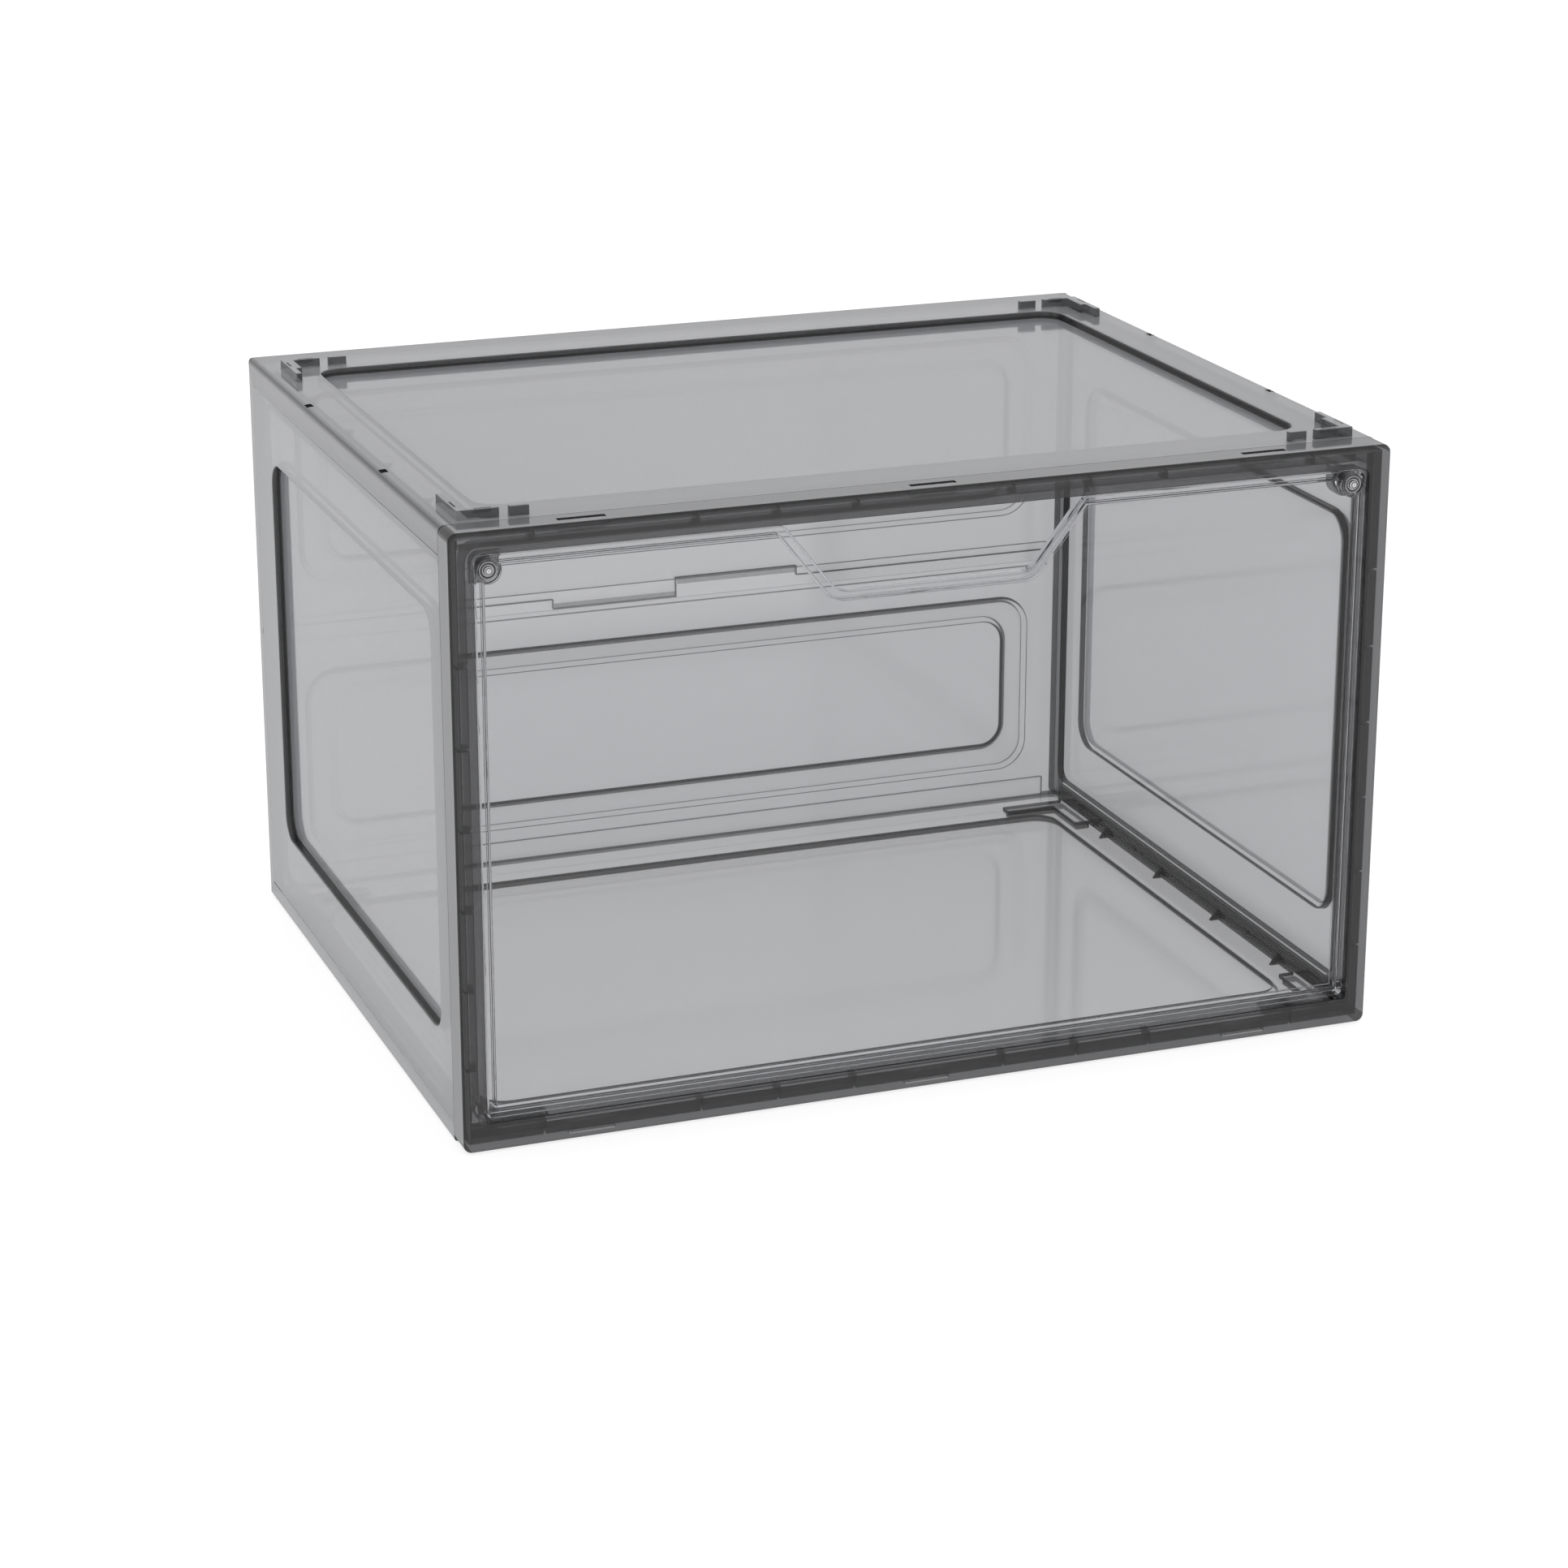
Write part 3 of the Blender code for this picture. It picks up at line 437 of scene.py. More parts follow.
def mirrored_x(low, high):
    """A box and its mirror image across the middle of the object."""
    return [(low, high), ((-high[0], low[1], low[2]), (-low[0], high[1], high[2]))]


def turned(name, profile, segments=TURNED_STEPS):
    """Turn a closed profile (radius, height) about Z."""
    shape = bmesh.new()
    rows = []
    for radius, height in profile:
        count = 1 if radius < TINY else segments
        rows.append([shape.verts.new((radius * math.cos(math.tau * i / segments),
                                      radius * math.sin(math.tau * i / segments), height))
                     for i in range(count)])
    for low, high in zip(rows, rows[1:]):
        for i in range(segments):
            below = low if len(low) == 1 else [low[i - 1], low[i]]
            above = high if len(high) == 1 else [high[i], high[i - 1]]
            shape.faces.new(below + above)
    if len(rows[0]) > 1:
        for i in range(segments):
            shape.faces.new((rows[-1][i - 1], rows[-1][i], rows[0][i], rows[0][i - 1]))
    return as_object(name, shape)


# ---------- pressed shapes

def foot_arc(height, up, radius):
    """Rounded foot: out from a flat floor into the wall."""
    return [(-run, height + up * (radius - rise)) for run, rise in arc(radius)][::-1]


def brim_arc(height, up, radius):
    """Wall that flares out as it reaches a face, and runs a little past it."""
    return [(run, height + up * (PAST - radius + rise)) for run, rise in arc(radius)]


def pressed(corners, foot, brim, beyond, foot_radius, brim_radius, axis):
    """Solid whose wall rises from a rounded foot and flares into a face."""
    up = math.copysign(1, brim - foot)
    profile = foot_arc(foot, up, foot_radius) + brim_arc(brim, up, brim_radius)
    profile.append((brim_radius, beyond))
    return skinned([(rounded(grown(corners, offset)), height) for offset, height in profile], axis)


def groove(outer, inner, foot, brim, beyond, foot_radius, brim_radius, axis):
    """Closed ring between two outlines, with rounded feet and flared brims."""
    up = math.copysign(1, brim - foot)
    profile = foot_arc(foot, up, foot_radius) + brim_arc(brim, up, brim_radius)
    profile.append((brim_radius, beyond))
    rows = [(rounded(grown(outer, offset)), height) for offset, height in profile[::-1]]
    rows += [(rounded(grown(inner, -offset)), height) for offset, height in profile]
    return skinned(rows, axis, closed=True)


# ---------- front frame

def frame_outline():
    return rectangle(-HALF, 0, HALF, HEIGHT, FRAME_CORNER)


def opening_outline():
    side, top = HALF - SIDE_RAIL, HEIGHT - TOP_RAIL
    return [(-side, BOTTOM_RAIL, OPENING_TOE), (side, BOTTOM_RAIL, OPENING_TOE),
            (side, top, OPENING_CORNER), (-side, top, OPENING_CORNER)]


def rail_ribs():
    """Short webs across the frame's channel, clear of the snap slots and the corners."""
    front = FRONT + FRAME_FACE - OVERLAP
    back = front + RIB_REACH
    bottom = (WALL - OVERLAP, BOTTOM_RAIL - WALL + OVERLAP)
    top = (HEIGHT - TOP_RAIL + WALL - OVERLAP, HEIGHT - WALL + OVERLAP)
    limits = []
    for index in range(-5, 6):
        x = index * RIB_PITCH
        if min(abs(x - snap * SNAP_PITCH) for snap in SNAPS) < SNAP_SLOT[0]:
            continue
        for low, high in (bottom, top):
            limits.append(((x - FRAME_RIB / 2, front, low), (x + FRAME_RIB / 2, back, high)))
    inner_wall = HALF - SIDE_RAIL + WALL - OVERLAP
    for index in range(1, 7):
        z = index * RIB_PITCH + FRAME_RIB
        limits += mirrored_x((inner_wall, front, z - FRAME_RIB / 2),
                             (INNER + OVERLAP, back, z + FRAME_RIB / 2))
    return boxes(*limits)


def snap_slots():
    width, depth = SNAP_SLOT
    walls = ((-WALL, WALL + OVERLAP), (HEIGHT - WALL - OVERLAP, HEIGHT + WALL))
    limits = []
    for snap in SNAPS:
        low_x, high_x = snap * SNAP_PITCH - width / 2, snap * SNAP_PITCH + width / 2
        for low, high in walls:
            limits.append(((low_x, SNAP_FRONT, low), (high_x, SNAP_FRONT + depth, high)))
    return boxes(*limits)


def magnet_pocket(side):
    """Plate across an upper corner of the frame, rounded towards the opening."""
    inner = CATCH_X - POCKET_RADIUS
    outer = HALF - SIDE_RAIL + WALL / 2
    low = CATCH_Z - POCKET_RADIUS
    high = HEIGHT - TOP_RAIL + WALL / 2
    corners = [(inner, low, POCKET_RADIUS - OVERLAP), (outer, low, 0), (outer, high, 0),
               (inner, high, 0)]
    points = [(side * point[0], point[1]) for point in rounded(corners)]
    return extruded(points, "Y", POCKET_FRONT, FRAME_BACK)


def corner_web(side):
    """Triangular web across a lower corner of the frame, behind the door."""
    edge = HALF - SIDE_RAIL + WALL / 2
    low = BOTTOM_RAIL - WALL / 2
    leg = WEB_LEG + WALL / 2
    points = [(side * edge, low), (side * (edge - leg), low), (side * edge, low + leg)]
    return extruded(points, "Y", FRAME_BACK - WALL, FRAME_BACK)


def make_frame():
    body = extruded(rounded(frame_outline()), "Y", FRONT, FRAME_BACK, soft_low=FRAME_EDGE)
    ring = as_object("front_ring", body)
    opening = pressed(opening_outline(), FRAME_BACK + WALL, FRONT, FRONT - WALL, LEAST_RADIUS,
                      OPENING_BRIM, "Y")
    cut(ring, opening)
    cut(ring, groove(grown(frame_outline(), -WALL), grown(opening_outline(), WALL),
                     FRONT + FRAME_FACE, FRAME_BACK + WALL, FRAME_BACK + 2 * WALL, FRAME_FOOT,
                     LEAST_RADIUS, "Y"))
    unite(ring, rail_ribs())
    cut(ring, snap_slots())
    for side in (-1, 1):
        unite(ring, magnet_pocket(side), corner_web(side))
    places = [(-CATCH_X, CATCH_Z), (CATCH_X, CATCH_Z)]
    seat = POCKET_FRONT + MAGNET_THICK + 3 * GAP
    cut(ring, rods(MAGNET_RADIUS + GAP, POCKET_FRONT - WALL, seat, "Y", places))
    wall = HALF - SIDE_RAIL
    for side in (-1, 1):
        through = sorted((side * (wall - GAP), side * (wall + WALL + GAP)))
        cut(ring, rods(PIN_HOLE, *through, "X", [(HINGE_Y, HINGE_Z)]))
    settle(ring)
    return ring


# ---------- door

def door_outline():
    floor = DOOR_TOP - NOTCH_DEPTH
    return [
        (-DOOR_SIDE, DOOR_LOW, DOOR_CORNER / 2), (DOOR_SIDE, DOOR_LOW, DOOR_CORNER / 2),
        (DOOR_SIDE, DOOR_TOP, DOOR_CORNER), (NOTCH_TOP, DOOR_TOP, NOTCH_LIP),
        (NOTCH_BASE, floor, NOTCH_ROOT), (-NOTCH_BASE, floor, NOTCH_ROOT),
        (-NOTCH_TOP, DOOR_TOP, NOTCH_LIP), (-DOOR_SIDE, DOOR_TOP, DOOR_CORNER),
    ]


def make_door():
    rim_back = DOOR_FACE + DOOR_RIM_DEPTH
    profile = foot_arc(DOOR_FACE, 1, DOOR_EDGE) + foot_arc(rim_back, -1, DOOR_EDGE)[::-1]
    rows = [(rounded(grown(door_outline(), offset)), height) for offset, height in profile]
    door = as_object("clear_door", skinned(rows, "Y"))
    field = grown(door_outline(), -DOOR_RIM_WIDTH)
    plate_front = DOOR_FACE + DOOR_RECESS
    cut(door, pressed(field, plate_front, DOOR_FACE, DOOR_FACE - WALL, DOOR_FRONT_FOOT,
                      DOOR_BRIM, "Y"))
    cut(door, pressed(field, plate_front + DOOR_PLATE, rim_back, rim_back + WALL,
                      DOOR_BACK_FOOT, DOOR_BRIM, "Y"))
    places = [(-CATCH_X, CATCH_Z), (CATCH_X, CATCH_Z)]
    unite(door, rods(BOSS_RADIUS, DOOR_FACE, DOOR_FACE + BOSS_DEPTH, "Y", places, TURNED_STEPS,
                     DOOR_BRIM))
    pocket_floor = DOOR_FACE + DISC_THICK + 2 * GAP
    cut(door, rods(DISC_RADIUS + GAP, DOOR_FACE - WALL, pocket_floor, "Y", places,
                   TURNED_STEPS))
    rivet_end = DOOR_FACE + RIVET_LENGTH + 2 * GAP
    cut(door, rods(DISC_BORE, DOOR_FACE, rivet_end, "Y", places))
    for side in (-1, 1):
        reach = sorted((side * (DOOR_SIDE - WALL), side * (DOOR_SIDE + PIN_REACH)))
        unite(door, rods(PIN_RADIUS, *reach, "X", [(HINGE_Y, HINGE_Z)], soft=PIN_EDGE))
    settle(door)
    return door


# ---------- magnetic catch

def place_turned(thing, side, front):
    """Lay a turned piece along Y, its height growing towards the back."""
    thing.rotation_euler = (-math.pi / 2, 0, 0)
    thing.location = (side * CATCH_X, front, CATCH_Z)


def dished_disc():
    """Closed profile of the striker disc, with turned rings on its face."""
    edge, ring = METAL_EDGE, DISC_RING
    rim, deep = DISC_RADIUS, DISC_THICK
    profile = [(DISC_BORE, edge), (DISC_BORE, deep), (rim - edge, deep), (rim, deep - edge),
               (rim, edge), (rim - edge, 0)]
    ring_at = rim - 2 * edge
    while ring_at > DISC_BORE + 3 * edge:
        profile += [(ring_at, 0.0), (ring_at - edge / 2, ring), (ring_at - edge, ring),
                    (ring_at - 1.5 * edge, 0.0)]
        ring_at -= 2.5 * edge
    profile.append((DISC_BORE + edge, 0.0))
    return profile


def make_catch(side, label):
    """Striker disc and rivet in the door's corner, and the magnet behind them."""
    disc = turned(f"disc_{label}", dished_disc())
    place_turned(disc, side, DOOR_FACE + GAP)
    dome = [(RIVET_HEAD * math.sin(angle), -RIVET_RISE * math.cos(angle))
            for angle in (index * math.pi / 2 / DOME_STEPS for index in range(DOME_STEPS + 1))]
    shank = [(RIVET_SHANK, 0.0), (RIVET_SHANK, RIVET_LENGTH), (0, RIVET_LENGTH)]
    rivet = turned(f"rivet_{label}", dome + shank)
    place_turned(rivet, side, DOOR_FACE)
    rim, deep, edge = MAGNET_RADIUS, MAGNET_THICK, METAL_EDGE
    magnet = turned(f"magnet_{label}", [(0, 0), (rim - edge, 0), (rim, edge), (rim, deep - edge),
                                        (rim - edge, deep), (0, deep)])
    place_turned(magnet, side, POCKET_FRONT + GAP)
    return disc, rivet, magnet


# ---------- roof and floor trays

def mitre_wedge(rim, edge, for_tray):
    """Solid on one side of the corner mitre between a tray and the back panel."""
    start = Vector((BACK - BACK_FLANGE, rim))
    end = Vector((BACK, edge))
    along = (end - start).normalized()
    towards_back = Vector((abs(along.y), -math.copysign(along.x, along.y)))
    side = 1 if for_tray else -1
    near = -towards_back * side * SEAM_GAP / 2
    far = towards_back * side * WEDGE
    points = [start - along * WEDGE + near, end + along * WEDGE + near,
              end + along * WEDGE + far, start - along * WEDGE + far]
    return extruded(points, "X", -HALF - WALL, HALF + WALL)


def snap_row(sheet, hook):
    """Three snap tabs in front of a tray's tongue, and their hooks in the frame's slots."""
    width, depth = SNAP_TAB
    front = SNAP_FRONT + SNAP_PLAY
    root = SHELL_FRONT - TONGUE_REACH + OVERLAP
    tabs = []
    hooks = []
    for snap in SNAPS:
        low_x, high_x = snap * SNAP_PITCH - width / 2, snap * SNAP_PITCH + width / 2
        tabs.append(((low_x, front, sheet[0]), (high_x, root, sheet[1])))
        hooks.append(((low_x, front, hook[0]), (high_x, front + depth, hook[1])))
    return boxes(*tabs), boxes(*hooks)


def rails(foot, tip):
    """Upright rails along both sides of a tray, rounded along their free edges."""
    low, high = sorted((foot, tip))
    front, back = RAIL_ENDS
    shape = boxes(*mirrored_x((RAIL_X, front, low), (RAIL_X + RAIL_WIDTH, back, high)))
    soften(shape, 1, lambda co: abs(co.z - tip) < TINY, RAIL_EDGE, FEW_STEPS)
    return shape


def gussets(foot, tip):
    """Triangular webs that brace the rails."""
    root = RAIL_X + OVERLAP
    webs = []
    for side in (-1, 1):
        points = [(side * (root - GUSSET_FOOT), foot), (side * root, foot), (side * root, tip)]
        for index in range(GUSSET_COUNT):
            y = GUSSET_FIRST + index * GUSSET_PITCH
            webs.append(extruded(points, "Y", y - GUSSET_THICK / 2, y + GUSSET_THICK / 2))
    return merged(webs)


def at_corner(points, side, end):
    """Place a footprint, drawn from (0, 0) into +X and +Y, at one stacking corner."""
    line = STACK_FRONT if end < 0 else STACK_BACK
    placed = [(side * (HALF - STACK_SIDE - x), line - end * y) for x, y in points]
    return placed if side * end > 0 else placed[::-1]


def stack_rib(side, end):
    """One L-shaped stacking rib with its stepped toe, and the short bar beside it."""
    ell = [(0, 0), (STACK_SHORT, 0), (STACK_SHORT, STACK_ARM), (STACK_HEEL, STACK_ARM),
           (STACK_HEEL, STACK_LONG - STACK_TOE), (STACK_ARM, STACK_LONG - STACK_TOE),
           (STACK_ARM, STACK_LONG), (0, STACK_LONG)]
    low, high = STACK_BAR
    bar = [(low, 0), (high, 0), (high, STACK_ARM), (low, STACK_ARM)]
    pieces = []
    for points in (ell, bar):
        corners = [(*point, STACK_EDGE) for point in at_corner(points, side, end)]
        outline = rounded(corners, FEW_STEPS)
        pieces.append(extruded(outline, "Z", HEIGHT - OVERLAP, STACK_TOP, soft=STACK_EDGE))
    return merged(pieces)


def stack_slits(side, end):
    """Narrow slits in the tops of a stacking rib's arms."""
    low, high = STACK_ARM / 2 - SLIT_HALF, STACK_ARM / 2 + SLIT_HALF
    spots = [(low, SLIT_ALONG[0], high, SLIT_ALONG[1]),
             (SLIT_ACROSS[0], low, SLIT_ACROSS[1], high)]
    pieces = []
    for low_x, low_y, high_x, high_y in spots:
        spot = [(low_x, low_y), (high_x, low_y), (high_x, high_y), (low_x, high_y)]
        pieces.append(extruded(at_corner(spot, side, end), "Z", STACK_TOP - SLIT_DEPTH,
                               STACK_TOP + WALL))
    return merged(pieces)


def stack_channel(side, end, room, low, high):
    """L-shaped solid that covers a stacking rib and its bar, grown by some room all round."""
    tip, arm, heel = STACK_BAR[1] + room, STACK_ARM + room, STACK_HEEL + room
    ell = [(-room, -room), (tip, -room), (tip, arm), (heel, arm), (heel, STACK_LONG + room),
           (-room, STACK_LONG + room)]
    corners = [(*point, CHANNEL_CORNER) for point in at_corner(ell, side, end)]
    return extruded(rounded(corners, FEW_STEPS), "Z", low, high, soft=STACK_EDGE)


def all_corners(make, *sizes):
    return merged([make(side, end, *sizes) for side in (-1, 1) for end in (-1, 1)])


def tongue(low, high):
    """Sheet of a tray that reaches forward into the frame."""
    end = SHELL_FRONT - TONGUE_REACH
    return boxes(((-TONGUE_X, end, low), (TONGUE_X, SHELL_FRONT + LIP, high)))


def roof_windows():
    limits = []
    for y in WINDOW_Y:
        low = (WINDOW_X[0], y - WINDOW_LENGTH / 2, HEIGHT - WALL - OVERLAP)
        high = (WINDOW_X[1], y + WINDOW_LENGTH / 2, HEIGHT + WALL)
        limits += mirrored_x(low, high)
    return boxes(*limits)


def rail_holes():
    """Round holes through the floor's rails."""
    low, high = RAIL_X - GAP, RAIL_X + RAIL_WIDTH + GAP
    places = [(y, RAIL_HOLE_Z) for y in RAIL_HOLE_Y]
    return merged([rods(RAIL_HOLE, *span, "X", places) for span in ((low, high), (-high, -low))])


def make_roof():
    under = HEIGHT - WALL
    rim = HEIGHT - TOP_FLANGE
    body = boxes(((-HALF, SHELL_FRONT, rim), (HALF, BACK, HEIGHT)))
    soften(body, 1, lambda co: co.z > HEIGHT - TINY, ROOF_EDGE, 6)
    roof = as_object("roof_tray", body)
    hollow = boxes(((-INNER, SHELL_FRONT - WALL, rim - WALL), (INNER, BACK + WALL, under)))
    soften(hollow, 1, lambda co: co.z > under - TINY, ROOF_EDGE / 2, 4)
    cut(roof, hollow, mitre_wedge(rim, HEIGHT, True))
    field = rectangle(*TOP_FIELD, FIELD_CORNER)
    sunk = HEIGHT - TOP_SINK
    unite(roof, pressed(grown(field, EMBOSS_WALL), sunk - WALL, under, under + OVERLAP,
                        INNER_FOOT, INNER_BRIM, "Z"))
    cut(roof, pressed(field, sunk, HEIGHT, HEIGHT + WALL, OUTER_FOOT, OUTER_BRIM, "Z"))
    sheet = (under - GAP - LIP, under - GAP)
    unite(roof, tongue(*sheet))
    root_back = SHELL_FRONT + LIP - OVERLAP
    unite(roof, boxes(((-TONGUE_X, SHELL_FRONT, sheet[1] - LIP / 2),
                       (TONGUE_X, root_back, under + OVERLAP))))
    unite(roof, *snap_row(sheet, (sheet[1] - LIP / 2, HEIGHT - SNAP_PLAY)))
    lip_back = BACK - WALL - GAP
    unite(roof, boxes(((-LIP_X, lip_back - LIP, rim), (LIP_X, lip_back, under + OVERLAP))))
    unite(roof, rails(under + OVERLAP, under - RAIL_RISE))
    unite(roof, gussets(under + OVERLAP, under - RAIL_RISE + LIP))
    unite(roof, all_corners(stack_rib))
    cut(roof, all_corners(stack_slits), roof_windows())
    settle(roof)
    return roof


def make_floor():
    """Floor tray: its border stands clear of the ground, its field and flanges touch it."""
    sheet_low = BASE_SINK
    sheet_high = BASE_SINK + WALL
    body = boxes(((-HALF, SHELL_FRONT, 0), (HALF, BACK, BASE_FLANGE)))
    soften(body, 1, lambda co: co.z < TINY, BASE_EDGE, 4)
    floor = as_object("floor_tray", body)
    hollow = boxes(((-INNER, SHELL_FRONT - WALL, sheet_high), (INNER, BACK + WALL, HEIGHT)))
    soften(hollow, 1, lambda co: co.z < sheet_high + TINY, BASE_EDGE / 2, 4)
    cut(floor, hollow)
    field = rectangle(*BASE_FIELD, FIELD_CORNER)
    border = rectangle(-INNER, SHELL_FRONT + WALL, INNER, BACK - WALL, EMBOSS_WALL)
    cut(floor, groove(border, grown(field, EMBOSS_WALL), sheet_low, 0, -WALL, BASE_FOOT,
                      BASE_RING_BRIM, "Z"))
    cut(floor, pressed(field, WALL, sheet_high, HEIGHT, BASE_FOOT, BASE_FIELD_BRIM, "Z"))
    cut(floor, mitre_wedge(BASE_FLANGE, 0, True))
    outside = CHANNEL_ROOM + CHANNEL_WALL
    channel_top = CHANNEL_DEEP + CHANNEL_ROOF
    unite(floor, all_corners(stack_channel, outside, sheet_low + OVERLAP, channel_top))
    cut(floor, all_corners(stack_channel, CHANNEL_ROOM, -WALL, CHANNEL_DEEP))
    sheet = (WALL + GAP, WALL + GAP + LIP)
    unite(floor, tongue(*sheet))
    unite(floor, *snap_row(sheet, (SNAP_PLAY, sheet[0] + LIP / 2)))
    lip_back = BACK - WALL - GAP
    rail_top = sheet_high + RAIL_RISE
    unite(floor, boxes(((-LIP_X, lip_back - LIP, sheet_high - WALL / 2),
                        (LIP_X, lip_back, rail_top))))
    unite(floor, rails(sheet_high - OVERLAP, rail_top))
    unite(floor, gussets(sheet_high - OVERLAP, rail_top - LIP))
    cut(floor, rail_holes())
    settle(floor)
    return floor


# ---------- sides and back

def make_side(side, label):
    """Skin between the seams, with a tongue frame behind it and a pressed field."""
    seam_low, seam_high = BASE_FLANGE + SEAM_GAP, HEIGHT - TOP_FLANGE - SEAM_GAP
    seam_back = BACK - BACK_FLANGE - SEAM_GAP
    tongue_out = INNER - GAP
    tongue_in = tongue_out - TONGUE

    def span(low_x, high_x):
        return sorted((side * low_x, side * high_x))

    def soft_end(width):
        return {"soft": width} if side > 0 else {"soft_low": width}

    skin = extruded(rounded(rectangle(SHELL_FRONT, seam_low, seam_back, seam_high, 0)), "X",
                    *span(tongue_out - OVERLAP, HALF), **soft_end(SKIN_EDGE))
    panel = as_object(f"{label}_wall", skin)
    reach = rectangle(SHELL_FRONT - TONGUE_REACH, BASE_SINK + WALL + GAP, BACK - WALL - 2 * GAP,
                      HEIGHT - WALL - GAP, TONGUE_CORNER)
    unite(panel, extruded(rounded(reach), "X", *span(tongue_in, tongue_out)))
    window = rectangle(SHELL_FRONT + TONGUE_BAND, seam_low + TONGUE_BAND,
                       seam_back - TONGUE_BAND, seam_high - TONGUE_BAND, TONGUE_BAND)
    cut(panel, extruded(rounded(window), "X", *span(tongue_in - WALL, INNER)))
    field = rectangle(*SIDE_FIELD, FIELD_CORNER)
    sunk = HALF - SIDE_SINK
    unite(panel, pressed(grown(field, EMBOSS_WALL), side * (sunk - WALL), side * INNER,
                         side * (INNER + OVERLAP), INNER_FOOT, INNER_BRIM, "X"))
    cut(panel, pressed(field, side * sunk, side * HALF, side * (HALF + WALL), OUTER_FOOT,
                       OUTER_BRIM, "X"))
    settle(panel)
    return panel


def seam_waste(above):
    """Outline of everything on one side of the stepped seam, grown by half the seam's gap."""
    edge, width, step = HALF + WALL, SEAM_TONGUE, SEAM_STEP
    line = [(-edge, SEAM_Z), (-width, SEAM_Z), (-width, SEAM_Z - step), (0, SEAM_Z - step),
            (0, SEAM_Z + step), (width, SEAM_Z + step), (width, SEAM_Z), (edge, SEAM_Z)]
    far = SEAM_Z + WEDGE if above else SEAM_Z - WEDGE
    if above:
        loop = line + [(edge, far), (-edge, far)]
    else:
        loop = line[::-1] + [(-edge, far), (edge, far)]
    return [corner[:2] for corner in grown([(*point, 0) for point in loop], SEAM_GAP / 2)]


def upside_down(corners):
    """Mirror an outline of the lower half about the middle of the height."""
    return [(a, HEIGHT - b, radius) for a, b, radius in reversed(corners)]


def make_back_half(name, low, high, upper_half):
    """One half of the back: side flanges, a pressed bead ring and a stepped seam edge."""
    body = boxes(((-HALF, BACK - BACK_FLANGE, low), (HALF, BACK, high)))
    soften(body, 2, lambda co: co.y > BACK - TINY, BACK_EDGE, 5)
    half = as_object(name, body)
    hollow = boxes(((-INNER, FRONT, low - WALL), (INNER, BACK - WALL, high + WALL)))
    soften(hollow, 2, lambda co: co.y > BACK - WALL - TINY, BACK_EDGE / 2, 4)
    cut(half, hollow)
    cut(half, extruded(seam_waste(not upper_half), "Y", BACK - 2 * BACK_FLANGE, BACK + WALL))
    half_x, outer_low, outer_high = BEAD_OUTER
    inner_x, inner_low, inner_high = BEAD_INNER
    outer = rectangle(-half_x, outer_low, half_x, outer_high, BEAD_CORNER)
    inner = rectangle(-inner_x, inner_low, inner_x, inner_high, FIELD_CORNER)
    if upper_half:
        outer, inner = upside_down(outer), upside_down(inner)
    face = BACK - WALL
    unite(half, groove(outer, inner, face - BEAD_SINK, face, face + OVERLAP, BEAD_FOOT,
                       INNER_BRIM, "Y"))
    cut(half, groove(grown(outer, -EMBOSS_WALL), grown(inner, EMBOSS_WALL), BACK - BEAD_SINK,
                     BACK, BACK + WALL, OUTER_FOOT, OUTER_BRIM, "Y"))
    return half


def seam_tongues():
    """Short ribs inside the back, along the two stepped parts of the seam."""
    face = BACK - WALL
    width, edge = SEAM_TONGUE - SEAM_GAP, SEAM_STEP - SEAM_GAP
    root = edge - SEAM_RIB_HIGH
    left = ((-width, face - SEAM_RIB, SEAM_Z - edge), (-GAP, face + OVERLAP, SEAM_Z - root))
    right = ((GAP, face - SEAM_RIB, SEAM_Z + root), (width, face + OVERLAP, SEAM_Z + edge))
    return left, right


def make_back():
    upper = make_back_half("upper_back", SEAM_Z - 2 * SEAM_STEP, HEIGHT, True)
    cut(upper, mitre_wedge(HEIGHT - TOP_FLANGE, HEIGHT, False))
    lower = make_back_half("lower_back", 0, SEAM_Z + 2 * SEAM_STEP, False)
    cut(lower, mitre_wedge(BASE_FLANGE, 0, False))
    face = BACK - WALL - GAP
    low, high = SEAM_LIP
    unite(lower, boxes(((-LIP_X, face - LIP, low), (LIP_X, face, high))))
    unite(lower, boxes(((-LIP_X, face - LIP / 2, low), (LIP_X, BACK - WALL + OVERLAP, low + LIP))))
    left, right = seam_tongues()
    unite(upper, boxes(left))
    unite(lower, boxes(right))
    settle(upper)
    settle(lower)
    return upper, lower


# ---------- shading

def smooth_step(low, high, value):
    part = min(max((value - low) / (high - low), 0), 1)
    return part * part * (3 - 2 * part)


def shade_smoothly(thing):
    """Smooth fillets, flat flats and sharp creases."""
    mesh = thing.data
    mesh.shade_smooth()
    mesh.set_sharp_from_angle(angle=math.radians(SHARP_ANGLE))
    weighted = thing.modifiers.new("even", "WEIGHTED_NORMAL")
    weighted.keep_sharp = True
    depsgraph = bpy.context.evaluated_depsgraph_get()
    thing.data = bpy.data.meshes.new_from_object(thing.evaluated_get(depsgraph))
    thing.modifiers.clear()


def inside(point, low, high):
    return all(low[i] <= point[i] <= high[i] for i in range(3))


